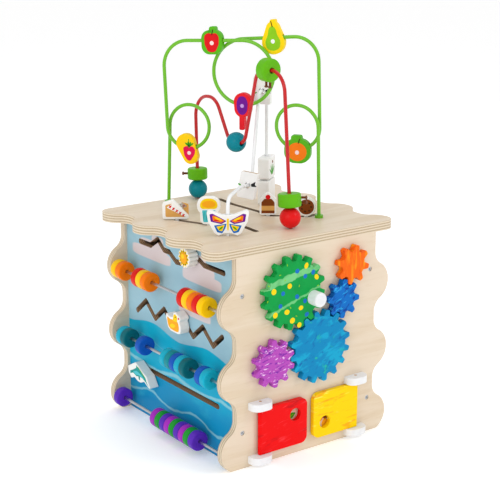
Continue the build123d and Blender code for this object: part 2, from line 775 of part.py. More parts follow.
def pie_outline():
    pie = make_face(Polyline((-24, -16), (24, -16), (-6, 17), (-24, 11), close=True).edges())
    return fillet(pie.vertices(), 4)


def cupcake_outline():
    return with_stem(Pos(0, 8) * RectangleRounded(38, 30, 14), 0, -9, 28, 28)


def cake_outline():
    slice_edges = (Pos(0, -4) * RectangleRounded(28, 30, 4)).edges()
    return make_hull(slice_edges + (Pos(0, 12) * Circle(7)).edges())


def cookie_outline():
    return Circle(16)


top_sliders = {
    "pie_slider": (pie_outline, -112.0, 37.0),
    "cupcake_slider": (cupcake_outline, -89.0, -23.0),
    "cake_slider": (cake_outline, 27.25, -28.0),
    "cookie_slider": (cookie_outline, 74.0, -72.2),
}
side_sliders = {
    "sun_slider": (sun_outline, 48.0, 325.5),
    "duck_slider": (duck_outline, 8.0, 206.9),
    "fish_slider": (fish_outline, -105.0, 88.0),
}

# ---------------------------------------------------------------- write every node
os.makedirs("parts", exist_ok=True)

save("top_panel", top_panel([green_route, red_route, white_route]))
save("front_panel", end_panel(-1))
save("back_panel", end_panel(1))
save("left_panel", side_panel(-1, [sun_slot, duck_slot, fish_slot]))
save("right_panel", side_panel(1))
save("base_panel", base_panel())
save("top_cleats", cleat(-1), cleat(1))
screws = []
for side in (-1, 1):
    for x in (-side_mid_x, side_mid_x):
        for z in screw_z:
            screws.append(screw(x, z, side))
save("panel_screws", *screws)

save("abacus_rods", *[abacus_rod(z) for z in rod_z])
for name, rod, near_y, count in bead_groups:
    save(name, *bead_group(rod, near_y, count))

for name in gears:
    save(name, gear(name))
save("gear_pins", *[gear_pin(centre) for centre, _, _ in gears.values()])
save("gear_knob", gear_knob())

save("red_door", door(-1))
save("yellow_door", door(1))
corners = [(side, upper) for side in (-1, 1) for upper in (False, True)]
save("hinge_blocks", *[hinge_block(side, upper) for side, upper in corners])
save("hinge_pins", *[hinge_pin(side, upper) for side, upper in corners])

for name, (outline, u, z) in side_sliders.items():
    save(name, *side_slider(outline(), u, z))
for name, (outline, x, y) in top_sliders.items():
    shape = outline()
    save(name, *top_slider(shape, x, y, shape.bounding_box().min.Y))

save("green_wire", bent_wire(green_route, green_corners))
save("red_wire", bent_wire(red_route, red_corners))
save("white_wire", bent_wire(white_route, white_corners))
save("wire_flanges", flange(green_route, 0), flange(green_route, -1))

save("apple_tile", tile_on_run(apple_outline(), green_plane, -49.0, 286.8, wire_shift, 2.19))
save("pear_tile", tile_on_run(pear_outline(), green_plane, 54.0, 294.2, -wire_shift, 4.23))
half = wire_shift / 2
save("plum_tile", tile_on_loop(plum_outline(), green_plane, top_loop, 0, -2.0))
save("strawberry_tile", tile_on_loop(strawberry_outline(), green_plane, left_loop, half, 3.0))
save("orange_tile", tile_on_loop(orange_outline(), green_plane, right_loop, -half, 3.0))

# the red wire: far leg, valley, crest and near leg
save("far_ball", ball_on_leg(red_route, 0, 0.5, far_ball_d))
at, up = disc_on_leg(red_route, 0, 34.5, 35, 20)
left = Vector(-math.cos(math.radians(view_turn)), -math.sin(math.radians(view_turn)), 0)
save("far_disc", *pegged(wire_disc(at, up, 35, 20, wire_bead_bore_d), [(at + left * 17, left)]))
at = red_plane.point(-17.5, 118.5)
valley_ball = Pos(*at) * Sphere(valley_ball_d / 2)
run = Vector(0, 1, 0)
valley_ball -= rod_between(at - run * 30, at + run * 30, wire_bead_bore_d)
save("valley_ball", solid_of(valley_ball))
at = red_plane.point(71.5, 249.0)
down = Vector(0, 0, -1)
feet = [(at + run * y + down * 18.5, down) for y in (-5, 5)]
save("crest_disc", *pegged(wire_disc(at, run, 38, 20, wire_bead_bore_d), feet))
save("near_ball", ball_on_leg(red_route, -1, 0.5, near_ball_d))
at, up = disc_on_leg(red_route, -1, 35.5, 38, 22)
right = left * -1
feet = [(at + right * 18.5 + Vector(0, 0, z), right) for z in (-4, 4)]
save("near_disc", *pegged(wire_disc(at, up, 38, 22, wire_bead_bore_d), feet))

# the white wire: near foot, low run, high run and far leg
save("butterfly_tile", butterfly())
save("picture_tile", cross_tile(-6.0, 56.6, 44, 30, -7.9, 8))
save("high_picture_tile", cross_tile(82.0, 201.5, 46, 31, 0, 0))
save("low_block", leg_block(1.0, 43))
save("plant_block", leg_block(46.0, 38))
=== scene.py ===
"""Visual model of a wooden activity cube: box, gears, doors, slots, bead rods and bent wires."""

import logging
import math
from dataclasses import dataclass, field
from enum import Enum
from typing import ClassVar

import bmesh
import bpy
from mathutils import Matrix, Vector


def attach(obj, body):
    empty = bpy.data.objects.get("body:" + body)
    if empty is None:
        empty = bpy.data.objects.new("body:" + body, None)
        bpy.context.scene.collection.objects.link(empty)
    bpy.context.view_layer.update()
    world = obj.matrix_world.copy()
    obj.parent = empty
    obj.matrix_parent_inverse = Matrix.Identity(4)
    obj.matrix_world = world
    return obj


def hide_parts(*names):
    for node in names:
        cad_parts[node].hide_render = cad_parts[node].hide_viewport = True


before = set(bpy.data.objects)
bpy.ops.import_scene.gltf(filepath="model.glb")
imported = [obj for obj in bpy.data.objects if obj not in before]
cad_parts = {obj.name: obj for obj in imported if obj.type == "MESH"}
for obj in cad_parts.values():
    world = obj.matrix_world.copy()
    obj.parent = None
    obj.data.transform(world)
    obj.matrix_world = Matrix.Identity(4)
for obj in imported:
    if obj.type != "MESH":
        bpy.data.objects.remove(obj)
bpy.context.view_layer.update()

log = logging.getLogger("activity_cube")
MM = 0.001
FIGURE_TURN = math.radians(-36.0)
ACROSS = Vector((math.cos(FIGURE_TURN), math.sin(FIGURE_TURN), 0))
OUTWARD = Vector((ACROSS.y, -ACROSS.x, 0))
Triple = tuple[float, float, float]
Point = tuple[float, float]


def tint(code: str) -> tuple[float, float, float, float]:
    """Turn a paint chart code into a linear colour.

    Args:
        code: Six hexadecimal digits, red first.

    Returns:
        Linear red, green, blue and an alpha of 1.
    """
    parts = [int(code[i:i + 2], 16) / 255 for i in (0, 2, 4)]
    linear = [p / 12.92 if p <= 0.04045 else ((p + 0.055) / 1.055) ** 2.4 for p in parts]
    return (linear[0], linear[1], linear[2], 1.0)


# ------------------------------------------------------------------ node building
class Tree:
    """A node tree being built, with short calls for the nodes the finishes use."""

    def __init__(self, tree: bpy.types.NodeTree) -> None:
        """Wrap an existing node tree."""
        self.tree = tree

    def add(self, kind: str, **values: object) -> bpy.types.Node:
        """Add a node.

        Args:
            kind: The node's type name.
            **values: Node properties; a name that starts with in_ sets the input of that name.

        Returns:
            The new node.
        """
        node = self.tree.nodes.new(kind)
        for name, value in values.items():
            if name.startswith("in_"):
                self.feed(node.inputs[name[3:].replace("_", " ")], value)
            else:
                setattr(node, name, value)
        return node

    def feed(self, socket: bpy.types.NodeSocket, value: object) -> None:
        """Link a socket to another one, or set its own value."""
        if isinstance(value, bpy.types.NodeSocket):
            self.tree.links.new(value, socket)
        else:
            socket.default_value = value

    def sum(self, operation: str, first: object, second: object = 0.0,
            clamp: bool = False) -> bpy.types.NodeSocket:
        """Add one Math node.

        Args:
            operation: The Math node's operation.
            first: A number or a socket.
            second: A number or a socket.
            clamp: Whether the result is held between 0 and 1.

        Returns:
            The result's socket.
        """
        node = self.add("ShaderNodeMath", operation=operation, use_clamp=clamp)
        self.feed(node.inputs[0], first)
        self.feed(node.inputs[1], second)
        return node.outputs[0]

    def plus(self, first: object, second: object, clamp: bool = False) -> bpy.types.NodeSocket:
        """First plus second, held between 0 and 1 when clamped."""
        return self.sum("ADD", first, second, clamp)

    def minus(self, first: object, second: object) -> bpy.types.NodeSocket:
        """First less second."""
        return self.sum("SUBTRACT", first, second)

    def times(self, first: object, second: object) -> bpy.types.NodeSocket:
        """First times second."""
        return self.sum("MULTIPLY", first, second)

    def noise(self, vector: object, scale: object, detail: float = 2.0, roughness: float = 0.5,
              distortion: float = 0.0) -> bpy.types.NodeSocket:
        """The value of one noise texture, which starts from the node's own settings."""
        return self.add("ShaderNodeTexNoise", in_Vector=vector, in_Scale=scale, in_Detail=detail,
                        in_Roughness=roughness, in_Distortion=distortion).outputs[0]

    def blend(self, share: object, under: object, over: object) -> bpy.types.NodeSocket:
        """Mix two colours.

        Args:
            share: How much of the second colour shows, a number or a socket.
            under: The first colour.
            over: The second colour.

        Returns:
            The mixed colour's socket.
        """
        node = self.add("ShaderNodeMix", data_type="RGBA")
        self.feed(node.inputs["Factor"], share)
        self.feed(node.inputs[6], under)
        self.feed(node.inputs[7], over)
        return node.outputs[2]

    def spread(self, value: object, low: float, high: float, to_low: float = 0.0,
               to_high: float = 1.0, smooth: bool = False) -> bpy.types.NodeSocket:
        """Map a range of values to another range, clamped.

        Args:
            value: The socket to map.
            low: Start of the range that is read.
            high: End of the range that is read.
            to_low: Result at the start.
            to_high: Result at the end.
            smooth: Whether the change eases in and out.

        Returns:
            The mapped value's socket.
        """
        node = self.add("ShaderNodeMapRange",
                        interpolation_type="SMOOTHSTEP" if smooth else "LINEAR")
        for i, part in enumerate((value, low, high, to_low, to_high)):
            self.feed(node.inputs[i], part)
        return node.outputs[0]

    def place(self, scale: Triple = (1, 1, 1),
              turn: Triple = (0, 0, 0)) -> bpy.types.NodeSocket:
        """Object coordinates, turned (degrees) and then scaled."""
        coords = self.add("ShaderNodeTexCoord").outputs["Object"]
        turned = self.add("ShaderNodeVectorRotate", rotation_type="EULER_XYZ", in_Vector=coords,
                          in_Rotation=tuple(math.radians(a) for a in turn))
        return self.add("ShaderNodeMapping", in_Vector=turned.outputs[0],
                        in_Scale=scale).outputs[0]

    def axes(self) -> list[bpy.types.NodeSocket]:
        """The three Object coordinates as separate sockets."""
        coords = self.add("ShaderNodeTexCoord").outputs["Object"]
        return list(self.add("ShaderNodeSeparateXYZ", in_Vector=coords).outputs)

    def normals(self) -> list[bpy.types.NodeSocket]:
        """The absolute size of the surface normal along X, Y and Z, then the signed values."""
        normal = self.add("ShaderNodeNewGeometry").outputs["Normal"]
        parts = list(self.add("ShaderNodeSeparateXYZ", in_Vector=normal).outputs)
        return [self.sum("ABSOLUTE", p) for p in parts] + parts

    def group(self, name: str, **values: object) -> bpy.types.Node:
        """Place one of the shared effect groups with its own values."""
        node = self.add("ShaderNodeGroup", node_tree=Effects.get(name))
        for key, value in values.items():
            self.feed(node.inputs[key.replace("_", " ")], value)
        return node


class Effects:
    """The shader node groups that more than one finish uses, each built once."""

    built: dict[str, bpy.types.NodeTree] = {}

    @classmethod
    def get(cls, name: str) -> bpy.types.NodeTree:
        """Return a group by name, building it the first time."""
        if name not in cls.built:
            cls.built[name] = getattr(cls, name)()
        return cls.built[name]

    @staticmethod
    def start(name: str, inputs: dict[str, object], outputs: dict[str, str]
              ) -> tuple[Tree, bpy.types.Node, bpy.types.Node]:
        """Open a new group.

        Args:
            name: The group's name.
            inputs: Input names with a starting number or colour, or None for a vector.
            outputs: Output names with their socket types.

        Returns:
            The tree, its input node and its output node.
        """
        group = bpy.data.node_groups.new(name, "ShaderNodeTree")
        for key, value in inputs.items():
            kind = "Vector" if value is None else "Color" if isinstance(value, tuple) else "Float"
            socket = group.interface.new_socket(key, in_out="INPUT",
                                                socket_type=f"NodeSocket{kind}")
            if value is not None:
                socket.default_value = value
        for key, kind in outputs.items():
            group.interface.new_socket(key, in_out="OUTPUT", socket_type=f"NodeSocket{kind}")
        tree = Tree(group)
        return tree, tree.add("NodeGroupInput"), tree.add("NodeGroupOutput")

    @classmethod
    def wood_grain(cls) -> bpy.types.NodeTree:
        """Long soft streaks of earlywood and latewood with small pores."""
        t, i, o = cls.start("wood_grain", {"Vector": None, "Light": (1, 1, 1, 1),
                                           "Dark": (0, 0, 0, 1),
                                           "Scale": 40.0}, {"Color": "Color", "Height": "Float"})
        v, size = i.outputs["Vector"], i.outputs["Scale"]
        broad = t.noise(v, size, 4.0, 0.55, 0.6)
        fine = t.noise(v, t.times(size, 7.0), 2.0, 0.6)
        streak = t.spread(broad, 0.40, 0.64, smooth=True)
        pore = t.spread(fine, 0.58, 0.74)
        share = t.plus(t.times(streak, 0.6), t.times(pore, 0.35), True)
        t.feed(o.inputs["Color"], t.blend(share, i.outputs["Light"], i.outputs["Dark"]))
        t.feed(o.inputs["Height"], t.minus(1.0, share))
        return t.tree

    @classmethod
    def ply_layers(cls) -> bpy.types.NodeTree:
        """Thin stacked plies, every second one cut across the grain and so darker."""
        t, i, o = cls.start("ply_layers", {"Depth": 0.0, "Vector": None, "Ply": 1.7,
                                           "Light": (1, 1, 1, 1), "Dark": (0, 0, 0, 1)},
                            {"Color": "Color", "Height": "Float"})
        wander = t.noise(i.outputs["Vector"], 30.0)
        depth = t.plus(i.outputs["Depth"], t.times(wander, 0.0006))
        turns = t.sum("DIVIDE", depth, t.times(i.outputs["Ply"], 0.001))
        wave = t.sum("SINE", t.times(turns, math.pi))
        band = t.spread(wave, -0.35, 0.35, smooth=True)
        speck = t.noise(i.outputs["Vector"], 900.0)
        share = t.times(band, t.spread(speck, 0.25, 0.6, 0.55, 1.0))
        t.feed(o.inputs["Color"], t.blend(share, i.outputs["Light"], i.outputs["Dark"]))
        t.feed(o.inputs["Height"], t.minus(1.0, share))
        return t.tree

    @classmethod
    def brush_marks(cls) -> bpy.types.NodeTree:
        """A mask of soft strokes; the vector's stretch sets their direction."""
        t, i, o = cls.start("brush_marks", {"Vector": None, "Scale": 60.0, "Low": 0.5,
                                            "High": 0.6},
                            {"Mask": "Float"})
        noise = t.noise(i.outputs["Vector"], i.outputs["Scale"], 3.0, 0.6, 0.4)
        t.feed(o.inputs["Mask"], t.spread(noise, i.outputs["Low"], i.outputs["High"]))
        return t.tree

    @classmethod
    def paint_skin(cls) -> bpy.types.NodeTree:
        """The faint unevenness of sprayed paint over sanded wood: colour, roughness and height."""
        t, i, o = cls.start("paint_skin", {"Color": (1, 1, 1, 1), "Shade": (0, 0, 0, 1),
                                           "Roughness": 0.4, "Vector": None},
                            {"Color": "Color", "Roughness": "Float", "Height": "Float"})
        v = i.outputs["Vector"]
        cloud = t.noise(v, 55.0, 3.0)
        fine = t.noise(v, 1400.0)
        share = t.spread(cloud, 0.42, 0.75, 0.0, 0.35, True)
        t.feed(o.inputs["Color"], t.blend(share, i.outputs["Color"], i.outputs["Shade"]))
        rough = t.plus(i.outputs["Roughness"], t.spread(cloud, 0.3, 0.7, -0.05, 0.07))
        t.feed(o.inputs["Roughness"], rough)
        t.feed(o.inputs["Height"], t.plus(t.times(cloud, 0.7), t.times(fine, 0.3)))
        return t.tree


# ------------------------------------------------------------------ finishes
@dataclass(frozen=True)
class Finish:
    """A surface finish; each kind of finish paints its own material."""

    name: str

    def material(self) -> bpy.types.Material:
        """The finish's material, built the first time it is asked for."""
        found = bpy.data.materials.get(self.name)
        if found:
            return found
        made = bpy.data.materials.new(self.name)
        made.use_nodes = True
        made.node_tree.nodes.clear()
        tree = Tree(made.node_tree)
        shader = tree.add("ShaderNodeBsdfPrincipled")
        output = tree.add("ShaderNodeOutputMaterial")
        tree.feed(output.inputs["Surface"], shader.outputs[0])
        self.paint(tree, shader)
        return made

    def paint(self, t: Tree, shader: bpy.types.Node) -> None:
        """Feed the shader. Each finish has its own way."""
        raise NotImplementedError

    @staticmethod
    def fix(shader: bpy.types.Node, **values: object) -> None:
        """Set the shader's own sockets; an underscore stands for a space."""
        for name, value in values.items():
            shader.inputs[name.replace("_", " ")].default_value = value

    @staticmethod
    def bump(t: Tree, shader: bpy.types.Node, height: object, strength: float,
             depth: float) -> None:
        """Give the shader a bump from a height socket.

        Args:
            t: The material's tree.
            shader: The shader to feed.
            height: The height socket.
            strength: The bump's strength.
            depth: Its distance in metres.
        """
        node = t.add("ShaderNodeBump", in_Height=height, in_Strength=strength, in_Distance=depth)
        t.feed(shader.inputs["Normal"], node.outputs[0])


@dataclass(frozen=True)
class BirchPly(Finish):
    """Lacquered birch plywood: grain on its faces and plies on its edges."""

    thick_axis: int = 1
    long_axis: int = 0
    light: str = "DFCEB7"
    dark: str = "D2BC9C"
    edge_light: str = "DCCDB4"
    edge_dark: str = "B39C7C"
    burnt_inside: float = 0.0
    burnt_half: ClassVar[Point] = (0.15, 0.16)
    fade: ClassVar[float] = 0.0001

    def paint(self, t: Tree, shader: bpy.types.Node) -> None:
        """Grain where the surface faces along the thickness, plies elsewhere."""
        scale = [1.0, 1.0, 1.0]
        scale[self.long_axis] = 0.12
        grain = t.group("wood_grain", Vector=t.place(tuple(scale)), Light=tint(self.light),
                        Dark=tint(self.dark), Scale=34.0)
        axes = t.axes()
        plies = t.group("ply_layers", Depth=axes[self.thick_axis], Vector=t.place(), Ply=2.2,
                        Light=tint(self.edge_light), Dark=tint(self.edge_dark))
        edge = t.spread(t.normals()[self.thick_axis], 0.85, 0.6)
        edge_colour = plies.outputs["Color"]
        if self.burnt_inside:
            across, along = (t.spread(t.sum("ABSOLUTE", axis), half + self.fade, half)
                             for axis, half in zip(axes, self.burnt_half))
            inner = t.times(across, along)
            edge_colour = t.blend(t.times(inner, self.burnt_inside), edge_colour, tint("5C4026"))
        t.feed(shader.inputs["Base Color"], t.blend(edge, grain.outputs["Color"], edge_colour))
        rough = t.plus(0.42, t.times(edge, 0.2))
        t.feed(shader.inputs["Roughness"], rough)
        height = t.plus(grain.outputs["Height"], t.times(edge, plies.outputs["Height"]))
        self.bump(t, shader, height, 0.25, 0.0002)
        self.fix(shader, Coat_Weight=0.12, Coat_Roughness=0.35)


@dataclass(frozen=True)
class SolidWood(Finish):
    """Turned or planed solid wood with a clear lacquer."""

    light: str = "D9B98A"
    dark: str = "A77C48"
    long_axis: int = 2

    def paint(self, t: Tree, shader: bpy.types.Node) -> None:
        """Grain that runs along one axis."""
        scale = [1.0, 1.0, 1.0]
        scale[self.long_axis] = 0.15
        grain = t.group("wood_grain", Vector=t.place(tuple(scale)), Light=tint(self.light),
                        Dark=tint(self.dark), Scale=120.0)
        t.feed(shader.inputs["Base Color"], grain.outputs["Color"])
        t.feed(shader.inputs["Roughness"], t.spread(grain.outputs["Height"], 0, 1, 0.55, 0.42))
        self.bump(t, shader, grain.outputs["Height"], 0.3, 0.0002)


@dataclass(frozen=True)
class Paint(Finish):
    """Satin toy paint over wood."""

    colour: str = "FFFFFF"
    shade: str = "DDDDDD"
    roughness: float = 0.34
    coat: float = 0.25
    specular: ClassVar[float] = 0.08
    coat_share: ClassVar[float] = 0.15
    coat_roughness: ClassVar[float] = 0.16
    skin_bump: ClassVar[Point] = (0.12, 0.0002)

    def paint(self, t: Tree, shader: bpy.types.Node) -> None:
        """Slightly clouded paint with a fine skin."""
        self.skin(t, shader, tint(self.colour), tint(self.shade))

    def skin(self, t: Tree, shader: bpy.types.Node, colour: object, shade: object) -> None:
        """Feed colour, roughness and bump from the paint's skin.

        Args:
            t: The material's tree.
            shader: The shader to feed.
            colour: The main colour or its socket.
            shade: The clouding colour or its socket.
        """
        skin = t.group("paint_skin", Color=colour, Shade=shade, Roughness=self.roughness,
                       Vector=t.place())
        t.feed(shader.inputs["Base Color"], skin.outputs["Color"])
        t.feed(shader.inputs["Roughness"], skin.outputs["Roughness"])
        self.bump(t, shader, skin.outputs["Height"], *self.skin_bump)
        self.fix(shader, Specular_IOR_Level=self.specular, Coat_Weight=self.coat * self.coat_share,
                 Coat_Roughness=self.coat_roughness)


@dataclass(frozen=True)
class PeggedPaint(Paint):
    """Paint on a disc bead whose thin pegs are dark stained wood."""

    centre: Triple = (0.0, 0.0, 0.0)
    radius: float = 18.0
    along: Triple = (0.0, 0.0, 1.0)
    stain: str = "6A3417"

    def paint(self, t: Tree, shader: bpy.types.Node) -> None:
        """Stain whatever stands further out than the disc's own rim."""
        away = t.add("ShaderNodeVectorMath", operation="SUBTRACT", in_Vector=t.place())
        away.inputs[1].default_value = tuple(c * MM for c in self.centre)
        side = t.add("ShaderNodeVectorMath", operation="CROSS_PRODUCT")
        t.feed(side.inputs[0], away.outputs[0])
        side.inputs[1].default_value = self.along
        far = t.add("ShaderNodeVectorMath", operation="LENGTH")
        t.feed(far.inputs[0], side.outputs[0])
        outside = t.spread(far.outputs["Value"], (self.radius + 0.15) * MM,
                           (self.radius + 0.3) * MM)
        colour = t.blend(outside, tint(self.colour), tint(self.stain))
        self.skin(t, shader, colour, t.blend(outside, tint(self.shade), tint("4E2510")))


@dataclass(frozen=True)
class BareEdgePaint(Paint):
    """Paint on the faces of a tile whose upper edge is left as bare wood."""

    wood: str = "C9A679"
    streak: str = "8E6A44"

    def paint(self, t: Tree, shader: bpy.types.Node) -> None:
        """Bare wood where the surface looks up."""
        grain = t.group("wood_grain", Vector=t.place((1, 1, 0.2)), Light=tint(self.wood),
                        Dark=tint(self.streak), Scale=160.0)
        up = t.spread(t.normals()[5], 0.8, 0.9)
        self.skin(t, shader, t.blend(up, tint(self.colour), grain.outputs["Color"]),
                  tint(self.shade))


@dataclass(frozen=True)
class StrokedPaint(Paint):
    """Paint with one or two layers of brush strokes over it."""

    strokes: tuple[tuple[str, tuple[float, float, float], float, float, float, float], ...] = ()

    def paint(self, t: Tree, shader: bpy.types.Node) -> None:
        """Lay the strokes on; a layer is colour, stretch, turn, scale, low and high."""
        colour: object = tint(self.colour)
        for code, stretch, turn, scale, low, high in self.strokes:
            marks = t.group("brush_marks", Vector=t.place(stretch, (0, turn, 0)), Scale=scale,
                            Low=low, High=high)
            colour = t.blend(marks.outputs["Mask"], colour, tint(code))
        self.skin(t, shader, colour, colour)


@dataclass(frozen=True)
class BandedPaint(Paint):
    """Green gear paint with two pale slanting bands."""

    bands: tuple[tuple[float, float, float, float], ...] = ()
    band_colour: str = "7FD08A"

    def paint(self, t: Tree, shader: bpy.types.Node) -> None:
        """A band is a height in mm at x = 0, its slope, its half width and its strength."""
        x, _, z = t.axes()
        rough_edge = t.noise(t.place(), 90.0)
        wobble = t.spread(rough_edge, 0.3, 0.7, -0.002, 0.002)
        colour: object = tint(self.colour)
        for height, slope, half, strength in self.bands:
            line = t.minus(z, t.plus(t.times(x, slope), height * MM))
            away = t.sum("ABSOLUTE", t.plus(line, wobble))
            mask = t.spread(away, half * MM, (half - 1.2) * MM)
            colour = t.blend(t.times(mask, strength), colour, tint(self.band_colour))
        self.skin(t, shader, colour, tint(self.shade))


@dataclass(frozen=True)
class SeaPicture(Paint):
    """The printed sky, clouds and sea of the wave side, with burnt slot edges."""

    sky: str = "9CC3D2"
    cloud: str = "D2C8CA"
    sea: str = "10AACB"
    deep: str = "128EBE"
    foam: str = "8FCBD6"
    cut: str = "8E6E50"

    def paint(self, t: Tree, shader: bpy.types.Node) -> None:
        """Build the picture from bands of height and rounded cloud shapes."""
        _, y, z = t.axes()
        u = t.times(y, -1000.0)
        h = t.times(z, 1000.0)
        drift = t.noise(t.place((1, 0.5, 1)), 22.0, 4.0)
        swing = t.spread(drift, 0.3, 0.7, -1.0, 1.0)
        sky = t.blend(t.spread(drift, 0.3, 0.7), tint(self.sky), tint("8FB6C6"))
        clouds = self.cloud_mask(t, u, h)
        colour = t.blend(clouds, sky, tint(self.cloud))
        top = t.plus(self.wave(t, u, 171.0, 6.0, 165.0, 80.0), t.times(swing, 1.0))
        sea = t.blend(t.spread(t.plus(h, t.times(swing, 14.0)), 110.0, 60.0, 0.0, 1.0, True),
                      tint(self.sea), tint(self.deep))
        sea = t.blend(t.spread(drift, 0.55, 0.72, 0.0, 0.55), sea, tint("3FB2CC"))
        for middle, height, length, crest, half, tail in ((97.0, 4.0, 150.0, 125.0, 5.0, 0.8),
                                                          (43.0, 7.0, 130.0, 42.0, 3.2, 0.75),
                                                          (141.0, 5.0, 170.0, 60.0, 1.2, 0.25)):
            line = t.plus(self.wave(t, u, middle, height, length, crest), t.times(swing, 5.0))
            away = t.sum("ABSOLUTE", t.minus(h, line))
            sea = t.blend(t.spread(away, half, half * 0.3, 0.0, tail, True), sea, tint(self.foam))
        low = self.wave(t, u, 34.0, 7.0, 130.0, 45.0)
        sea = t.blend(t.spread(t.minus(h, low), 2.0, -3.0, 0.0, 0.7), sea, tint("1483B8"))
        colour = t.blend(t.spread(t.minus(h, top), 0.6, -0.6), colour, sea)
        outside = t.spread(t.normals()[3], -0.5, -0.8)
        edge = t.spread(t.normals()[0], 0.8, 0.5)
        grain = t.group("wood_grain", Vector=t.place((1, 0.12, 1)), Light=tint("DFCDB3"),
                        Dark=tint("D2BC9C"), Scale=34.0)
        cut = t.group("ply_layers", Depth=t.axes()[0], Vector=t.place(), Ply=1.7,
                      Light=tint("C4A88A"), Dark=tint(self.cut))
        colour = t.blend(outside, grain.outputs["Color"], colour)
        colour = t.blend(edge, colour, cut.outputs["Color"])
        self.skin(t, shader, colour, colour)

    @staticmethod
    def wave(t: Tree, u: object, middle: float, height: float, length: float, crest: float
             ) -> bpy.types.NodeSocket:
        """The height of a wavy line along the panel, in mm."""
        angle = t.times(t.minus(u, crest), 2 * math.pi / length)
        return t.plus(t.times(t.sum("COSINE", angle), height), middle)

    @staticmethod
    def cloud_mask(t: Tree, u: object, h: object) -> bpy.types.NodeSocket:
        """A mask of the flat-bottomed clouds, each a set of rounded blocks."""
        mask: object = 0.0
        blocks = ((-82.0, 300.0, 60.0, 10.0), (-75.0, 312.0, 42.0, 12.0),
                  (-62.0, 322.0, 18.0, 12.0),
                  (70.0, 291.0, 55.0, 10.0), (68.0, 303.0, 38.0, 12.0), (62.0, 316.0, 20.0, 14.0),
                  (48.0, 228.0, 46.0, 7.0), (30.0, 238.0, 24.0, 9.0))
        for middle, height, half_u, half_h in blocks:
            du = t.sum("DIVIDE", t.minus(u, middle), half_u)
            dh = t.sum("DIVIDE", t.minus(h, height), half_h)
            four = t.plus(t.sum("POWER", t.sum("ABSOLUTE", du), 5.0),
                         t.sum("POWER", t.sum("ABSOLUTE", dh), 5.0))
            mask = t.sum("MAXIMUM", mask, t.spread(four, 1.25, 0.85))
        return mask


@dataclass(frozen=True)
class Gloss(Paint):
    """Gloss enamel baked on to the bent wires: nearly even, with a slight orange peel."""

    roughness: float = 0.26
    coat: float = 0.2
    specular: ClassVar[float] = 0.3
    coat_share: ClassVar[float] = 1.0
    coat_roughness: ClassVar[float] = 0.1
    skin_bump: ClassVar[Point] = (0.08, 0.0001)


@dataclass(frozen=True)
class Steel(Finish):
    """Drawn steel with fine lines along its length."""

    long_axis: int = 1

    def paint(self, t: Tree, shader: bpy.types.Node) -> None:
        """Bright metal whose roughness follows the drawing lines."""
        scale = [1.0, 1.0, 1.0]
        scale[self.long_axis] = 0.02
        line = t.noise(t.place(tuple(scale)), 1800.0, 3.0)
        t.feed(shader.inputs["Base Color"], t.blend(line, tint("C9CBCE"), tint("A9ACB0")))
        t.feed(shader.inputs["Roughness"], t.spread(line, 0.3, 0.7, 0.22, 0.38))
        self.fix(shader, Metallic=1.0)
        self.bump(t, shader, line, 0.1, 0.0001)


@dataclass(frozen=True)
class Backdrop(Finish):
    """The plain pale floor, lifted to white by a faint glow."""

    glow: float = 0.24

    def paint(self, t: Tree, shader: bpy.types.Node) -> None:
        """A matt near-white."""
        self.fix(shader, Base_Color=(0.96, 0.96, 0.96, 1), Roughness=0.7, Specular_IOR_Level=0.1,
                 Emission_Color=(1, 1, 1, 1), Emission_Strength=self.glow)


def printing_ink(name: str, colour: str, shade: str, roughness: float = 0.42,
                 coat: float = 0.1) -> Paint:
    """A flat printing ink."""
    return Paint("ink_" + name, colour, shade, roughness, coat)


class Ink(Enum):
    """The printing inks of the pictures, each a Paint of its own."""

    RED = printing_ink("red", "D8161C", "B80F14")
    CRIMSON = printing_ink("crimson", "E01050", "C00A40")
    LEAF = printing_ink("leaf", "3FA01E", "2F8616")
    LIME = printing_ink("lime", "8CC820", "78B414")
    BARK = printing_ink("bark", "3A2412", "2A180A", 0.5, 0.05)
    TAN = printing_ink("tan", "D9A45A", "C48E46", 0.45, 0.1)
    BROWN = printing_ink("brown", "7E3F14", "652F0C", 0.45, 0.1)
    PALE = printing_ink("pale", "F3D9D6", "E6C6C4", 0.45, 0.1)
    PURPLE = printing_ink("purple", "6E1590", "570F75")
    LILAC = printing_ink("lilac", "C79AE0", "B485D0")
    ORANGE = printing_ink("orange", "F27B16", "E06A0A")
    AMBER = printing_ink("amber", "F6A91C", "EE9812")
    YELLOW = printing_ink("yellow", "F7D117", "EFC10C")
    TEAL = printing_ink("teal", "1C9A94", "128079")
    AQUA = printing_ink("aqua", "52C3CE", "3FB2BE")
    BLUE = printing_ink("blue", "1F6FC0", "165CA5")
    BLACK = printing_ink("black", "26262A", "1A1A1D", 0.5, 0.05)
    WHITE = printing_ink("white", "F2F3F0", "E4E6E2")


# ------------------------------------------------------------------ pictures on flat faces
@dataclass(frozen=True)
class Plane3:
    """A flat face to print on: a point in mm, its sideways direction and its outward normal."""

    origin: Vector
    across: Vector
    normal: Vector

    def matrix(self, x: float, y: float, lift: float, turn: float = 0.0) -> Matrix:
        """Where a mark at x, y (mm) goes, lifted off the face and turned in degrees."""
        up = self.normal.cross(self.across).normalized()
        place = self.origin + self.across * x + up * y + self.normal * lift
        rows = Matrix((self.across, up, self.normal)).transposed().to_4x4()
        return Matrix.Translation(place * MM) @ rows @ Matrix.Rotation(math.radians(turn), 4, "Z")

    def both(self, thickness: float) -> list["Plane3"]:
        """The front and back faces of a plate of that thickness whose middle plane this is."""
        front = Plane3(self.origin + self.normal * thickness / 2, self.across, self.normal)
        return [front, Plane3(front.origin - front.normal * thickness, -self.across, -self.normal)]


def front_face(y: float) -> Plane3:
    """The face of the gear side at y (mm), with x as its sideways measure."""
    return Plane3(Vector((0, y, 0)), Vector((1, 0, 0)), Vector((0, -1, 0)))


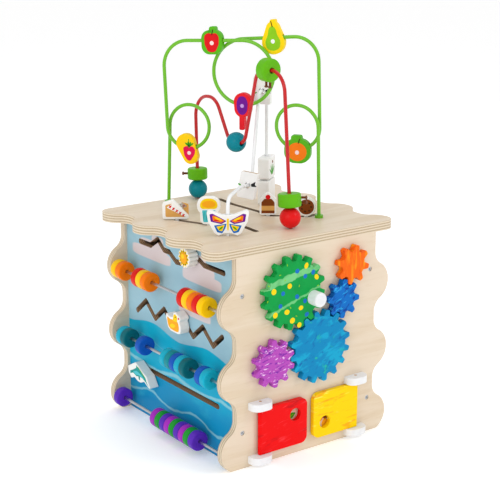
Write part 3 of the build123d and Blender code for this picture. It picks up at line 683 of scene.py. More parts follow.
class Picture:
    """Flat printed marks that together make one piece."""

    film = 0.12
    sunk = -0.05

    def __init__(self, name: str, body: str, faces: list[Plane3]) -> None:
        """Start an empty picture.

        Args:
            name: The piece's name.
            body: The body it moves with.
            faces: The faces that every mark is printed on.
        """
        self.on = faces
        self.name = name
        self.body = body
        self.mesh = bmesh.new()
        self.inks: list[Finish] = []

    def _raise(self, faces: list[bmesh.types.BMFace], matrix: Matrix, level: int,
               ink: Ink) -> None:
        """Turn flat faces into a thin closed film and place it.

        Args:
            faces: The mark's faces, drawn in mm in its own plane.
            matrix: Where the mark goes.
            level: How many films lie under it.
            ink: Its ink.
        """
        if ink.value not in self.inks:
            self.inks.append(ink.value)
        number = self.inks.index(ink.value)
        made = bmesh.ops.extrude_face_region(self.mesh, geom=faces)["geom"]
        top = [v for v in made if isinstance(v, bmesh.types.BMVert)]
        bmesh.ops.translate(self.mesh, vec=(0, 0, self.film * (level + 1.4)), verts=top)
        verts = list({v for f in faces for v in f.verts} | set(top))
        shell = {f for v in verts for f in v.link_faces}
        for f in shell:
            f.material_index = number
        bmesh.ops.recalc_face_normals(self.mesh, faces=list(shell))
        scale = Matrix.Scale(MM, 4)
        bmesh.ops.transform(self.mesh, matrix=matrix @ scale, verts=verts)

    def oval(self, at: Point, size: Point, ink: Ink, level: int = 0,
             turn: float = 0.0) -> None:
        """Print an oval.

        Args:
            at: Its centre in mm.
            size: Its width and height in mm.
            ink: Its ink.
            level: How many films lie under it.
            turn: Degrees counter-clockwise.
        """
        for on in self.on:
            made = bmesh.ops.create_circle(self.mesh, cap_ends=True, segments=28, radius=0.5)
            bmesh.ops.scale(self.mesh, vec=(size[0], size[1], 1), verts=made["verts"])
            faces = list({f for v in made["verts"] for f in v.link_faces})
            self._raise(faces, on.matrix(at[0], at[1], self.sunk, turn), level, ink)

    def shape(self, points: list[Point], ink: Ink, level: int = 0, soft: float = 1.0,
              at: Point = (0.0, 0.0), turn: float = 0.0) -> None:
        """Print a shape with softened corners.

        Args:
            points: Its corners in mm, in order.
            ink: Its ink.
            level: How many films lie under it.
            soft: How far the corners are rounded, in mm.
            at: Where its own origin goes on the face.
            turn: Degrees counter-clockwise.
        """
        for on in self.on:
            verts = [self.mesh.verts.new((x, y, 0)) for x, y in points]
            face = self.mesh.faces.new(verts)
            made = bmesh.ops.bevel(self.mesh, geom=verts, offset=soft, segments=4, profile=0.5,
                                   affect="VERTICES", material=-1, clamp_overlap=True)
            near = {f for v in made["verts"] for f in v.link_faces} or {face}
            self._raise(list(near), on.matrix(at[0], at[1], self.sunk, turn), level, ink)

    def finish(self, slot: str) -> bpy.types.Object:
        """Make the piece.

        Args:
            slot: Not used.

        Returns:
            The new object, already riding on its body.
        """
        piece = make_object(self.name, self.mesh, self.inks)
        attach(piece, self.body)
        log.info("printed %s on %s", self.name, self.body)
        return piece


def make_object(name: str, mesh: bmesh.types.BMesh, finishes: list[Finish]) -> bpy.types.Object:
    """Turn a bmesh into a linked object.

    Args:
        name: The object's name.
        mesh: The finished bmesh, which is freed.
        finishes: Its finishes, in the order of its faces' material numbers.

    Returns:
        The new object.
    """
    data = bpy.data.meshes.new(name)
    mesh.to_mesh(data)
    mesh.free()
    for finish in finishes:
        data.materials.append(finish.material())
    made = bpy.data.objects.new(name, data)
    bpy.context.scene.collection.objects.link(made)
    return made


def dress(node: str, finish: Finish) -> None:
    """Give a CAD node its finish.

    Args:
        node: The node's name.
        finish: The finish for all its faces.
    """
    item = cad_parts[node]
    for place in item.material_slots:
        place.material = finish.material()
    log.info("dressed %s in %s", node, finish.name)


# ------------------------------------------------------------------ the box
@dataclass
class Box:
    """The birch box: four walls, top, floor, battens, screws, hinge blocks and pins."""

    white: Paint = Paint("block_white", "E9EAEC", "D8DADD", 0.4, 0.15)
    pins: SolidWood = SolidWood("pin_wood", "C79B66", "9E7340", 1)

    def build(self) -> None:
        """Dress every fixed piece of the box."""
        ply = BirchPly("birch_wall", 1, 0)
        dress("front_panel", ply)
        dress("back_panel", ply)
        dress("right_panel", BirchPly("birch_side", 0, 1))
        dress("base_panel", BirchPly("birch_floor", 2, 1))
        dress("top_panel", BirchPly("birch_top", 2, 0, burnt_inside=0.75))
        dress("left_panel", SeaPicture("sea_picture", roughness=0.4, coat=0.15))
        dress("top_cleats", SolidWood("batten_wood", long_axis=0))
        dress("panel_screws", Steel("screw_steel"))
        dress("hinge_blocks", self.white)
        dress("hinge_pins", self.pins)
        dress("gear_pins", self.pins)


# ------------------------------------------------------------------ gears
@dataclass
class GearTrain:
    """The five painted gears and the turning knob."""

    front_y: float = -185.0
    yellow_dots: tuple[Point, ...] = ((-78, 289), (-47, 293), (7, 299), (-75, 250), (-52, 251),
                                      (-24, 253), (-41, 235), (-27, 225), (-14, 321))
    blue_dots: tuple[Point, ...] = ((-32, 315), (-16, 304), (0, 308), (-60, 283), (-32, 273),
                                    (-65, 263), (-12, 240), (-16, 263))
    flecks: tuple[Point, ...] = ((-66, 314), (-56, 304), (-28, 290), (-45, 257), (-33, 241),
                                 (10, 284),
                                 (-90, 275), (-52, 328), (-88, 300))

    def build(self) -> None:
        """Dress the gears and print the dots."""
        dress("green_gear", BandedPaint("gear_green", "0C9A45", "0A7F38", 0.36, 0.2,
                                        ((314.5, 0.19, 6.0, 0.85), (278.0, 0.32, 3.0, 0.7))))
        dress("blue_gear", StrokedPaint("gear_sea_blue", "0A84B8", "0A6E9C", 0.36, 0.2, (
            ("12A0C8", (1, 1, 2.2), 20, 26.0, 0.48, 0.58),
            ("20B39A", (1, 1, 1.6), -15, 38.0, 0.60, 0.68),
            ("0A68A8", (1, 1, 2.0), 35, 48.0, 0.58, 0.68))))
        dress("purple_gear", StrokedPaint("gear_orchid", "B24CB4", "9A3C9E", 0.36, 0.2, (
            ("7A2AA0", (1, 1, 2.4), 14, 75.0, 0.54, 0.62),
            ("F0C4EE", (1, 1, 3.2), 12, 85.0, 0.585, 0.63))))
        dress("small_blue_gear", StrokedPaint("gear_royal_blue", "0A6ABE", "0858A4", 0.36, 0.2, (
            ("0A3F96", (1, 1, 3.0), 38, 60.0, 0.52, 0.6),
            ("2BA2DE", (1, 1, 3.4), 20, 72.0, 0.60, 0.66))))
        dress("orange_gear", StrokedPaint("gear_orange", "EE6410", "D85408", 0.36, 0.2, (
            ("F59018", (3.0, 1, 0.6), 0, 42.0, 0.5, 0.62),
            ("D9400C", (2.6, 1, 0.7), 8, 60.0, 0.6, 0.7))))
        dress("gear_knob", Paint("knob_white", "E6E7EA", "D4D6DA", 0.38, 0.2))
        dots = Picture("green_gear_dots", "green_wheel", [front_face(self.front_y)])
        for i, at in enumerate(self.yellow_dots):
            dots.oval(at, (9.5 - i % 3, 10.0 - i % 2), Ink.YELLOW, 0, 20.0 * i)
        for i, at in enumerate(self.blue_dots):
            dots.oval(at, (8.5 - i % 2, 7.5), Ink.BLUE, 0, 35.0 * i)
        for i, at in enumerate(self.flecks):
            dots.oval(at, (4.0, 1.6), Ink.LIME, 0, 40.0 * i)
        dots.finish("green_paint")


# ------------------------------------------------------------------ doors
@dataclass
class Doors:
    """The two little doors and the pictures found behind them."""

    panel_y: float = -173.0

    def build(self) -> None:
        """Dress the doors and print what they hide."""
        dress("red_door", StrokedPaint("door_red", "EA060A", "CC0408", 0.36, 0.2, (
            ("C20D14", (0.6, 1, 2.4), 8, 30.0, 0.54, 0.68), ("F0343A", (0.5, 1, 3.0), 12, 60.0,
                                                             0.6, 0.7))))
        dress("yellow_door", StrokedPaint("door_yellow", "F8D000", "EEBE00", 0.36, 0.2, (
            ("F6A812", (0.5, 1, 2.6), 4, 45.0, 0.54, 0.66), ("FBE95A", (0.5, 1, 3.0), 0, 60.0,
                                                             0.6, 0.7))))
        wall = [front_face(self.panel_y)]
        leaf = Picture("picture_behind_red_door", "cube", wall)
        blade = [(-13, 0), (-5, 6), (6, 5), (14, 0), (6, -5), (-5, -5)]
        for at, turn in (((-36, 66), 20), ((-52, 62), -12), ((-62, 74), 62), ((-48, 79), 125),
                         ((-72, 58), 165)):
            leaf.shape(blade, Ink.LEAF, 0, 2.5, at, turn)
            leaf.oval(at, (20, 1.1), Ink.LIME, 1, turn)
        leaf.shape([(-86, 30), (-84, 30), (-54, 66), (-56, 68)], Ink.BROWN, 0, 0.6)
        leaf.finish("birch_plywood")
        bloom = Picture("picture_behind_yellow_door", "cube", wall)
        for i in range(6):
            angle = math.radians(60 * i + 20)
            at = (40 + 15 * math.cos(angle), 52 + 15 * math.sin(angle))
            bloom.oval(at, (17, 11), Ink.ORANGE if i % 2 else Ink.AMBER, 0, 60 * i + 20)
        bloom.oval((40, 52), (15, 15), Ink.BROWN, 1)
        bloom.shape([(55, 30), (58, 30), (66, 60), (63, 60)], Ink.LEAF, 0, 0.6)
        bloom.finish("birch_plywood")


# ------------------------------------------------------------------ bead rods
def bead_enamel(name: str, colour: str, shade: str) -> Paint:
    """The glossy enamel of the beads."""
    return Paint("bead_" + name, colour, shade, 0.3, 0.35)


class Enamel(Enum):
    """The bead colours."""

    YELLOW = bead_enamel("yellow", "FBC60A", "F0B404")
    RED = bead_enamel("red", "DB1A12", "C0120C")
    ORANGE = bead_enamel("orange", "F47A0A", "E46A04")
    TURQUOISE = bead_enamel("turquoise", "16A9C4", "1096B0")
    BLUE = bead_enamel("blue", "1557B8", "0F479C")
    DARK_TEAL = bead_enamel("dark_teal", "0A6670", "07545C")
    TEAL = bead_enamel("teal", "128A94", "0C7680")
    PURPLE = bead_enamel("purple", "5B2BB4", "4B209C")
    GREEN = bead_enamel("green", "1C9632", "148026")
    MAGENTA = bead_enamel("magenta", "A62BB8", "9220A4")


@dataclass
class BeadRods:
    """Three steel rods with thirty disc beads, made one by one."""

    rod_x: float = -160.7
    rod_z: tuple[float, ...] = (27.4, 145.3, 263.4)
    width: float = 14.2
    radius: float = 16.5
    hole: float = 2.9
    pitch: float = 14.55
    edge: float = 2.4
    hole_edge: float = 0.7
    near_enough: float = 0.01
    steps: int = 56
    groups: list[tuple[str, int, float, list[Enamel]]] = field(default_factory=list)

    def __post_init__(self) -> None:
        """Fill in which colours each group of beads has, from its near end."""
        e = Enamel
        three = [e.PURPLE, e.GREEN, e.MAGENTA]
        self.groups = [
            ("upper_near_beads", 2, -128.0, [e.YELLOW, e.RED, e.ORANGE, e.YELLOW, e.RED]),
            ("upper_middle_beads", 2, 41.4, [e.ORANGE, e.YELLOW, e.RED]),
            ("upper_far_beads", 2, 122.3, [e.ORANGE, e.YELLOW]),
            ("middle_near_beads", 1, -133.4, [e.TURQUOISE, e.BLUE]),
            ("middle_centre_beads", 1, -73.2, [e.DARK_TEAL, e.TURQUOISE, e.BLUE, e.TEAL,
                                               e.TURQUOISE]),
            ("middle_lone_bead", 1, 62.0, [e.BLUE]),
            ("middle_far_beads", 1, 111.2, [e.DARK_TEAL, e.TURQUOISE]),
            ("lower_near_beads", 0, -97.2, three * 3),
            ("lower_far_bead", 0, 138.8, [e.PURPLE]),
        ]

    def build(self) -> None:
        """Dress the rods and make the beads."""
        dress("abacus_rods", Steel("rod_steel", 1))
        for node, row, near, colours in self.groups:
            for i, colour in enumerate(colours):
                name = f"{node[:-1] if node.endswith('s') else node}_{i + 1}"
                self.bead(name, node, near + i * self.pitch, self.rod_z[row], colour)

    def bead(self, name: str, node: str, near: float, height: float, colour: Enamel) -> None:
        """Make one bead by spinning its cross-section round the rod.

        Args:
            name: The piece's name.
            node: The CAD node, and body, that it stands for.
            near: Its near face along the rod, in mm.
            height: The rod's height in mm.
            colour: The bead's enamel.
        """
        mesh = bmesh.new()
        low, high = near, near + self.width
        section = [(self.hole, low), (self.radius, low), (self.radius, high), (self.hole, high)]
        verts = [mesh.verts.new((self.rod_x + r, y, height)) for r, y in section]
        for i in range(4):
            mesh.edges.new((verts[i], verts[(i + 1) % 4]))
        bmesh.ops.bevel(mesh, geom=[verts[1], verts[2]], offset=self.edge, segments=5, profile=0.5,
                        affect="VERTICES", material=-1)
        bore = [v for v in mesh.verts
                if abs(v.co.x - self.rod_x - self.hole) < self.near_enough]
        bmesh.ops.bevel(mesh, geom=bore, offset=self.hole_edge, segments=2, profile=0.5,
                        affect="VERTICES", material=-1)
        bmesh.ops.spin(mesh, geom=mesh.verts[:] + mesh.edges[:], cent=(self.rod_x, 0, height),
                       axis=(0, 1, 0), angle=2 * math.pi, steps=self.steps, use_merge=True)
        bmesh.ops.remove_doubles(mesh, verts=mesh.verts, dist=0.001)
        bmesh.ops.scale(mesh, vec=(MM, MM, MM), verts=mesh.verts)
        bmesh.ops.recalc_face_normals(mesh, faces=mesh.faces)
        for f in mesh.faces:
            f.smooth = True
        piece = make_object(name, mesh, [colour.value])
        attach(piece, node)
        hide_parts(node)
        log.info("turned %s", name)


# ------------------------------------------------------------------ sliders on the wave side
@dataclass
class WaveSliders:
    """Sun, duck and fish on pegs in the winding slots."""

    face_x: float = -155.5
    white: Paint = Paint("figure_white", "F0F0EC", "E0E0DC", 0.4, 0.15)

    def face(self, u: float, z: float) -> Plane3:
        """The front face of a figure whose middle is at u, z."""
        return Plane3(Vector((self.face_x, -u, z)), Vector((0, -1, 0)), Vector((-1, 0, 0)))

    def build(self) -> None:
        """Dress the three figures and print their pictures."""
        for node in ("sun_slider", "duck_slider", "fish_slider"):
            dress(node, self.white)
        self.sun()
        self.duck()
        self.fish()

    def sun(self) -> None:
        """A yellow sun with an orange middle."""
        art = Picture("sun_print", "sun_slider", [self.face(48.0, 325.5)])
        for i in range(12):
            a = math.radians(30 * i)
            art.oval((12.0 * math.cos(a), 12.0 * math.sin(a)), (6.0, 3.4), Ink.YELLOW, 0, 30 * i)
        art.oval((0, 0), (24, 24), Ink.YELLOW, 0)
        art.oval((0, 0), (19, 19), Ink.AMBER, 1)
        art.oval((-2.5, 2.5), (8, 8), Ink.YELLOW, 2)
        art.finish("yellow_paint")

    def duck(self) -> None:
        """A yellow duck, seen from the side."""
        art = Picture("duck_print", "duck_slider", [self.face(8.0, 206.9)])
        body = [(-12, 7.5), (-12.5, 1), (-8.5, -9), (-1.5, -12.2), (16, -12.8), (22, -11),
                (23, -4), (21, 3), (16, 7), (4, 5.5), (-4, 5)]
        art.shape(body, Ink.AMBER, 0, 2.0)
        art.shape([(5, 4), (7, 14), (11, 17.2), (16.5, 15.5), (18.8, 11), (17, 4)], Ink.YELLOW, 1,
                  2.0)
        art.oval((22.4, 11.6), (4.4, 3.6), Ink.RED, 1)
        art.oval((12.6, 11.8), (2.4, 2.4), Ink.BLACK, 2)
        art.oval((4, -5), (16, 7), Ink.YELLOW, 1, 12)
        art.finish("yellow_paint")

    def fish(self) -> None:
        """A leaping teal fish."""
        art = Picture("fish_print", "fish_slider", [self.face(-105.0, 88.0)])
        body = [(-23, -12), (-24, -7), (-16, -3.5), (-3, 4), (-3.5, 9), (6, 4.5), (16, -1),
                (26, -5), (31, -13), (38, -19.5), (25, -12.5), (17, -9.5), (6, -9),
                (-2.5, -11.5), (-14, -8)]
        art.shape(body, Ink.TEAL, 0, 1.2)
        art.shape([(-14, -6), (-2, -1), (14, -5), (24, -9.5), (6, -7.5), (-4, -9)], Ink.AQUA, 1,
                  1.0)
        art.shape([(-3, 8), (8, 3), (20, -4), (27, -8), (24, -4.5), (14, 1.5), (4, 6.5)],
                  Ink.LEAF, 1, 0.8)
        art.shape([(3, -9), (9, -9.5), (9, -16), (5, -15)], Ink.TEAL, 0, 1.0)
        art.oval((-17, -6.6), (1.8, 1.8), Ink.BLACK, 2)
        art.finish("white_paint")


# ------------------------------------------------------------------ standing figures on the top
@dataclass
class StandingFigures:
    """Pie, cupcake, cake and cookie that slide in the slots of the top."""

    base_z: float = 367.0
    thickness: float = 10.0
    white: Paint = Paint("standing_white", "F2F2EF", "E2E2DE", 0.4, 0.15)

    def faces(self, x: float, y: float, low: float) -> list[Plane3]:
        """Both faces of a figure; low is how far its own origin stands over its lower edge."""
        middle = Vector((x, y, self.base_z + low))
        return Plane3(middle, ACROSS, OUTWARD).both(self.thickness)

    def build(self) -> None:
        """Dress the four figures and print both their faces."""
        for node in ("pie_slider", "cupcake_slider", "cake_slider", "cookie_slider"):
            dress(node, self.white)
        pie = Picture("pie_print", "pie_slider", self.faces(-112.0, 37.0, 16.0))
        pie.shape([(-19, -12), (15, -12), (-7, 11), (-19, 8)], Ink.TAN, 0, 2.0)
        pie.shape([(-17, 4), (-7, 11), (18, -11), (12, -11), (-9, 0)], Ink.WHITE, 1, 1.2)
        for i in range(5):
            at = (-11 + i * 5.4, 5.5 - i * 3.6)
            pie.oval(at, (6.2, 2.0), Ink.RED, 2, 35)
            pie.oval(at, (5.4, 1.8), Ink.RED, 3, -70)
        cup = Picture("cupcake_print", "cupcake_slider", self.faces(-89.0, -23.0, 23.0))
        cup.shape([(-13, 3), (-15, 11), (-10, 19), (0, 21), (10, 19), (15, 11), (13, 3)],
                  Ink.YELLOW, 0, 4.0)
        cup.oval((0, 11), (22, 12), Ink.AMBER, 1)
        cup.shape([(-11, 1), (11, 1), (9, -19), (-9, -19)], Ink.AQUA, 0, 1.5)
        for i in range(5):
            cup.oval((-8 + 4 * i, -9), (1.2, 17), Ink.TEAL, 1, (i - 2) * 2.0)
        cake = Picture("cake_print", "cake_slider", self.faces(27.25, -28.0, 19.0))
        cake.shape([(-11, -16), (11, -16), (11, -11), (-11, -11)], Ink.BROWN, 0, 0.8)
        cake.shape([(-11, -11), (11, -11), (11, -3), (-11, -3)], Ink.TAN, 0, 0.5)
        cake.shape([(-11, -3), (11, -3), (11, 3), (-11, 3)], Ink.BROWN, 0, 0.5)
        cake.shape([(-11, 3), (11, 3), (6, 9), (-6, 9)], Ink.BROWN, 1, 1.0)
        cake.oval((0, 12), (8, 8), Ink.RED, 2)
        cookie = Picture("cookie_print", "cookie_slider", self.faces(74.0, -72.2, 16.0))
        cookie.oval((0, 0), (26, 26), Ink.BROWN, 0)
        for i in range(7):
            a = math.radians(51 * i)
            cookie.oval((8 * math.cos(a), 8 * math.sin(a)), (3.4, 2.8), Ink.BARK, 1, 30 * i)
        for art in (pie, cup, cake, cookie):
            art.finish("white_paint")


# ------------------------------------------------------------------ wires, tiles and beads
@dataclass(frozen=True)
class WirePlane:
    """The upright plane that a wire is bent in; s runs along it and h is height over the top."""

    origin: Point
    heading: float
    top: float = 365.5

    def frame(self, s: float, h: float, w: float = 0.0, tilt: float = 0.0,
              yaw: float = 0.0) -> Plane3:
        """A print plane through the wire.

        Args:
            s: Place along the wire's plane, in mm.
            h: Height over the top, in mm.
            w: Shift out of the wire's plane, in mm.
            tilt: Degrees turned about the plane's normal.
            yaw: Degrees turned about the upright.

        Returns:
            The print plane.
        """
        a, b, c = math.radians(self.heading), math.radians(tilt), math.radians(yaw)
        run = Vector((math.cos(a), math.sin(a), 0))
        out = Vector((run.y, -run.x, 0))
        point = Vector((self.origin[0], self.origin[1], self.top + h)) + run * s + out * w
        normal = run * math.sin(c) + out * math.cos(c)
        level = run * math.cos(c) - out * math.sin(c)
        return Plane3(point, level * math.cos(b) + Vector((0, 0, math.sin(b))), normal)


@dataclass
class WireMaze:
    """The three enamelled wires, their fruit tiles, beads and picture tiles."""

    green: WirePlane = WirePlane((14.0, 28.3), -56.1)
    white: WirePlane = WirePlane((-7.5, -22.5), 38.1)
    tile_t: float = 12.0
    head_r: float = 3.4
    block_half: float = 10.0

    def build(self) -> None:
        """Dress the wires and everything threaded on them."""
        dress("green_wire", Gloss("wire_green", "6CB81E", "5CA616"))
        dress("wire_flanges", Gloss("flange_green", "62B01C", "549E14"))
        dress("red_wire", Gloss("wire_red", "C0141A", "A80E14"))
        dress("white_wire", Gloss("wire_white", "EEF0F2", "DCDFE2"))
        for node, centre, radius, along in (
                ("far_disc", (4.0, 148.6, 410.0), 17.5, (0.0, 0.0335, 1.0)),
                ("crest_disc", (4.0, -58.5, 614.5), 19.0, (0.0, 1.0, 0.0)),
                ("near_disc", (4.0, -117.2, 412.0), 19.0, (0.0, 0.082, 1.0))):
            leaf = PeggedPaint("leaf_green_" + node, "62B418", "52A010", 0.3, 0.35, centre,
                               radius, along)
            dress(node, leaf)
        for node in ("far_ball", "valley_ball"):
            dress(node, Paint("ball_teal", "0C8494", "08707E", 0.28, 0.4))
        dress("near_ball", Paint("ball_red", "E01A1C", "C61014", 0.28, 0.4))
        self.peg_heads()
        self.fruit()
        self.pictures()

    def peg_heads(self) -> None:
        """Make the mushroom heads of the pegs that stand out of the three disc beads."""
        down = Vector((0, 0, -1))
        heads = {
            "far_disc": [(Vector((4.0, 148.9, 410.0)) - ACROSS * 25.5, -ACROSS)],
            "crest_disc": [(Vector((4.0, -58.5 + y, 587.5)), down) for y in (-5.0, 5.0)],
            "near_disc": [(Vector((4.0, -116.7, 412.0 + z)) + ACROSS * 27.0,
                           ACROSS) for z in (-4.0, 4.0)],
        }
        for node, places in heads.items():
            mesh = bmesh.new()
            for at, way in places:
                made = bmesh.ops.create_uvsphere(mesh, u_segments=20, v_segments=12,
                                                 radius=self.head_r)
                bmesh.ops.scale(mesh, vec=(1, 1, 0.6), verts=made["verts"])
                turn = way.to_track_quat("Z", "Y").to_matrix().to_4x4()
                bmesh.ops.transform(mesh, matrix=Matrix.Scale(MM,
                                                              4) @ Matrix.Translation(at) @ turn,
                                    verts=made["verts"])
            for f in mesh.faces:
                f.smooth = True
            wood = SolidWood("peg_wood", "7A4322", "57290F", 2)
            piece = make_object(node + "_peg_heads", mesh, [wood])
            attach(piece, node)
            log.info("made the peg heads of %s", node)

    def fruit(self) -> None:
        """Print the five fruit tiles of the green wire."""
        dress("apple_tile", Paint("tile_green", "57B01C", "489C12", 0.32, 0.3))
        dress("pear_tile", Paint("tile_yellow", "F9D40C", "EEC406", 0.32, 0.3))
        dress("plum_tile", Paint("tile_red", "E3202A", "CC141E", 0.32, 0.3))
        dress("strawberry_tile", Paint("tile_gold", "FACB0A", "EFBB04", 0.32, 0.3))
        dress("orange_tile", Paint("tile_leaf", "57B01C", "489C12", 0.32, 0.3))
        apple = Picture("apple_print", "apple_tile",
                        self.green.frame(-49.0, 286.8, 6.0, 2.19).both(self.tile_t))
        apple.shape([(-13, 8), (-6, 13), (1, 11), (8, 13), (13.5, 7), (13, -6), (7, -18),
                     (0, -19.5),
                         (-7, -18), (-12.5, -7)], Ink.RED, 0, 3.2)
        apple.oval((0.5, -4), (7, 7), Ink.PALE, 1)
        apple.shape([(0, 9), (1.6, 9), (4, 18), (2.4, 18)], Ink.BARK, 1, 0.4)
        apple.oval((-3, 15), (7, 3), Ink.LEAF, 1, 25)
        pear = Picture("pear_print", "pear_tile",
                        self.green.frame(54.0, 294.2, -6.0, 4.23).both(self.tile_t))
        pear.shape([(-6, 15), (0, 20), (6, 15), (8, 4), (13.5, -6), (11, -18), (0, -22),
                    (-11, -18),
                        (-13.5, -6), (-8, 4)], Ink.LIME, 0, 4.0)
        pear.oval((0, -6), (7, 7), Ink.WHITE, 1)
        pear.shape([(0, 17), (1.4, 17), (-1, 27), (-2.4, 27)], Ink.BARK, 1, 0.4)
        plum = Picture("plum_print", "plum_tile",
                        self.green.frame(3.0, 181.0, 0.0, 0.0, -2.0).both(self.tile_t))
        plum.shape([(-10, 6), (-5, 15), (5, 15), (10, 6), (9.5, -8), (4, -16), (-4, -16),
                    (-9.5, -8)],
                   Ink.PURPLE, 0, 4.5)
        plum.oval((0, -1), (6.5, 6.5), Ink.LILAC, 1)
        berry = Picture("strawberry_print", "strawberry_tile",
                        self.green.frame(-96.0, 101.5, 3.0, 0.0, 3.0).both(self.tile_t))
        berry.shape([(-8, 2), (-2, 5), (4, 4), (9, 5), (14, 0), (13, -9), (5, -21), (0, -20),
                     (-6, -12)],
                    Ink.CRIMSON, 0, 3.2)
        for turn in (-50, -15, 20, 55):
            berry.oval((3 + turn * 0.06, 7), (3.2, 11), Ink.LEAF, 1, -turn)
        berry.shape([(2, 8), (3.6, 8), (2.6, 17), (1.4, 17)], Ink.LEAF, 1, 0.4)
        berry.oval((3, -7), (6.5, 6.5), Ink.PALE, 2)
        orange = Picture("orange_print", "orange_tile",
                        self.green.frame(98.5, 112.0, -3.0, 0.0, 3.0).both(self.tile_t))
        orange.oval((0, -4), (33, 31), Ink.ORANGE, 0)
        orange.oval((0, -5), (7, 7), Ink.PALE, 1)
        orange.shape([(1, 10), (2.4, 10), (5, 18), (3.6, 18)], Ink.BARK, 1, 0.4)
        for art, slot in ((apple, "leaf_green_paint"), (pear, "yellow_paint"), (plum, "red_paint"),
                          (berry, "yellow_paint"), (orange, "leaf_green_paint")):
            art.finish(slot)

    def pictures(self) -> None:
        """Print the tiles of the white wire."""
        white = Paint("tile_white", "F1F1F0", "E0E0DE", 0.36, 0.25)
        edged = BareEdgePaint("tile_bare_edge", "F1F1F0", "E0E0DE", 0.36, 0.25)
        for node in ("butterfly_tile", "low_block", "plant_block"):
            dress(node, white)
        for node in ("picture_tile", "high_picture_tile"):
            dress(node, edged)
        self.cross_marks()
        middle = self.white.frame(-122.4, 22.0).origin
        wings = Picture("butterfly_print", "butterfly_tile",
                        Plane3(middle, ACROSS, OUTWARD).both(self.tile_t))
        for k in (-1, 1):
            self.wing(wings, k)
        wings.shape([(-1.2, -12), (1.2, -12), (1.6, 7), (-1.6, 7)], Ink.YELLOW, 3, 0.8)
        wings.finish("white_paint")
        leg = self.white.frame(109.0, 65.0)
        on = Plane3(leg.origin + leg.normal * self.block_half, leg.across, leg.normal)
        plant = Picture("plant_print", "plant_block", [on])
        for turn, at in ((0, (0, -3)), (24, (-4.5, -4)), (-24, (4.5, -4)), (48, (-8, -7)),
                         (-48, (8, -7))):
            plant.oval(at, (3.4, 18), Ink.LEAF, 0, turn)
        plant.oval((3, 9), (6, 5), Ink.BROWN, 1)
        plant.finish("white_paint")
        log.info("pictures printed")

    def cross_marks(self) -> None:
        """Print a small dark sprig beside the hole of each tile that stands across the wire."""
        for node, s, h, tilt, roll in (("picture_tile", -6.0, 56.6, -7.9, 8.0),
                                       ("high_picture_tile", 82.0, 201.5, 0.0, 0.0)):
            through = self.white.frame(s, h, 0.0, tilt)
            c = math.radians(roll)
            up = through.normal.cross(through.across)
            side = through.normal * math.cos(c) + up * math.sin(c)
            art = Picture(node + "_print", node, Plane3(
                through.origin, side, -through.across).both(self.tile_t))
            art.shape([(6, 1), (15, 5), (13, 0), (16, -4), (7, -3)], Ink.BLACK, 0, 0.8)
            art.oval((-11, -4), (6, 2.6), Ink.LEAF, 0, 25)
            art.oval((-13, 3), (6, 2.6), Ink.LEAF, 0, -35)
            art.finish("white_paint")

    def wing(self, art: Picture, k: int) -> None:
        """Print the two wings of one side.

        Args:
            art: The butterfly's picture.
            k: 1 for the right side and -1 for the left.
        """
        upper = [(2, 3), (24, 15), (29, 14), (27, 2), (10, -2)]
        lower = [(2, -1), (12, -3), (22, -4), (17, -15), (9, -17), (4, -9)]
        for points, ink, level in ((upper, Ink.PURPLE, 0), (lower, Ink.BLUE, 0)):
            art.shape([(k * x, y) for x, y in points][::k], ink, level, 1.2)
        inner = [(5, 3.4), (22, 12.2), (24.5, 11), (23.5, 3.4), (11, 0.4)]
        tail = [(5, -3), (13, -5), (18, -6), (14, -12.5), (9, -13.5)]
        for points, ink in ((inner, Ink.ORANGE), (tail, Ink.YELLOW)):
            art.shape([(k * x, y) for x, y in points][::k], ink, 1, 0.8)
        art.oval((k * 15, 6.5), (13, 3.2), Ink.YELLOW, 2, k * 24)
        art.oval((k * 18, 4.0), (9, 2.0), Ink.RED, 2, k * 6)
        art.oval((k * 11, -8.6), (8, 2.6), Ink.LEAF, 2, -k * 40)


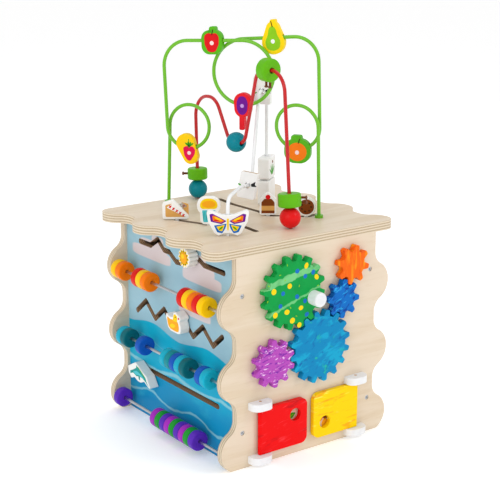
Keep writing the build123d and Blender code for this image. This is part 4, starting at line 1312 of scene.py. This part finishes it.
# ------------------------------------------------------------------ floor, light and camera
@dataclass
class Studio:
    """The pale floor, the soft lights and the camera."""

    camera_at: Triple = (-1.2466, -1.7297, 0.8890)
    camera_turn: Triple = (74.636, 0.0, -36.007)
    lens: float = 93.75

    def build(self) -> None:
        """Set up the whole studio."""
        self.camera()
        self.floor()
        self.lamp("key_light", (1.5, -2.2, 2.2), 1.2, 17.0)
        self.lamp("fill_light", (-2.6, -1.2, 1.5), 2.0, 20.0)
        self.lamp("top_light", (0.2, 0.3, 3.0), 1.8, 10.0)
        world = bpy.data.worlds.new("studio_air")
        world.use_nodes = True
        ground = world.node_tree.nodes["Background"]
        ground.inputs["Color"].default_value = (1.0, 1.0, 1.0, 1)
        ground.inputs["Strength"].default_value = 0.78
        bpy.context.scene.world = world
        bpy.context.scene.view_settings.view_transform = "Standard"

    def camera(self) -> None:
        """Place the camera and make it the scene's."""
        data = bpy.data.cameras.new("studio_camera")
        data.lens, data.sensor_width = self.lens, 36.0
        camera = bpy.data.objects.new("studio_camera", data)
        camera.location = self.camera_at
        camera.rotation_euler = tuple(math.radians(a) for a in self.camera_turn)
        bpy.context.scene.collection.objects.link(camera)
        bpy.context.scene.camera = camera

    def floor(self) -> None:
        """Lay the floor just under the box."""
        mesh = bmesh.new()
        bmesh.ops.create_grid(mesh, x_segments=1, y_segments=1, size=15.0)
        bmesh.ops.translate(mesh, vec=(0, 0, -0.0004), verts=mesh.verts)
        floor = make_object("floor", mesh, [Backdrop("floor_pale")])

    def lamp(self, name: str, at: Triple, size: float, power: float) -> None:
        """Hang one soft area light that points at the toy.

        Args:
            name: The light's name.
            at: Its place in metres.
            size: Its width in metres.
            power: Its power in watts.
        """
        data = bpy.data.lights.new(name, "AREA")
        data.shape, data.size, data.energy = "DISK", size, power
        light = bpy.data.objects.new(name, data)
        light.location = at
        aim = Vector((0, 0, 0.3)) - Vector(at)
        light.rotation_euler = aim.to_track_quat("-Z", "Y").to_euler()
        bpy.context.scene.collection.objects.link(light)


def main() -> None:
    """Build the studio and every sub-assembly in order."""
    logging.basicConfig(level=logging.INFO, format="%(name)s: %(message)s")
    for part in (Studio(), Box(), GearTrain(), Doors(), BeadRods(), WaveSliders(),
                 StandingFigures(),
                 WireMaze()):
        part.build()
        log.info("%s done", type(part).__name__)


if __name__ == "__main__":
    main()
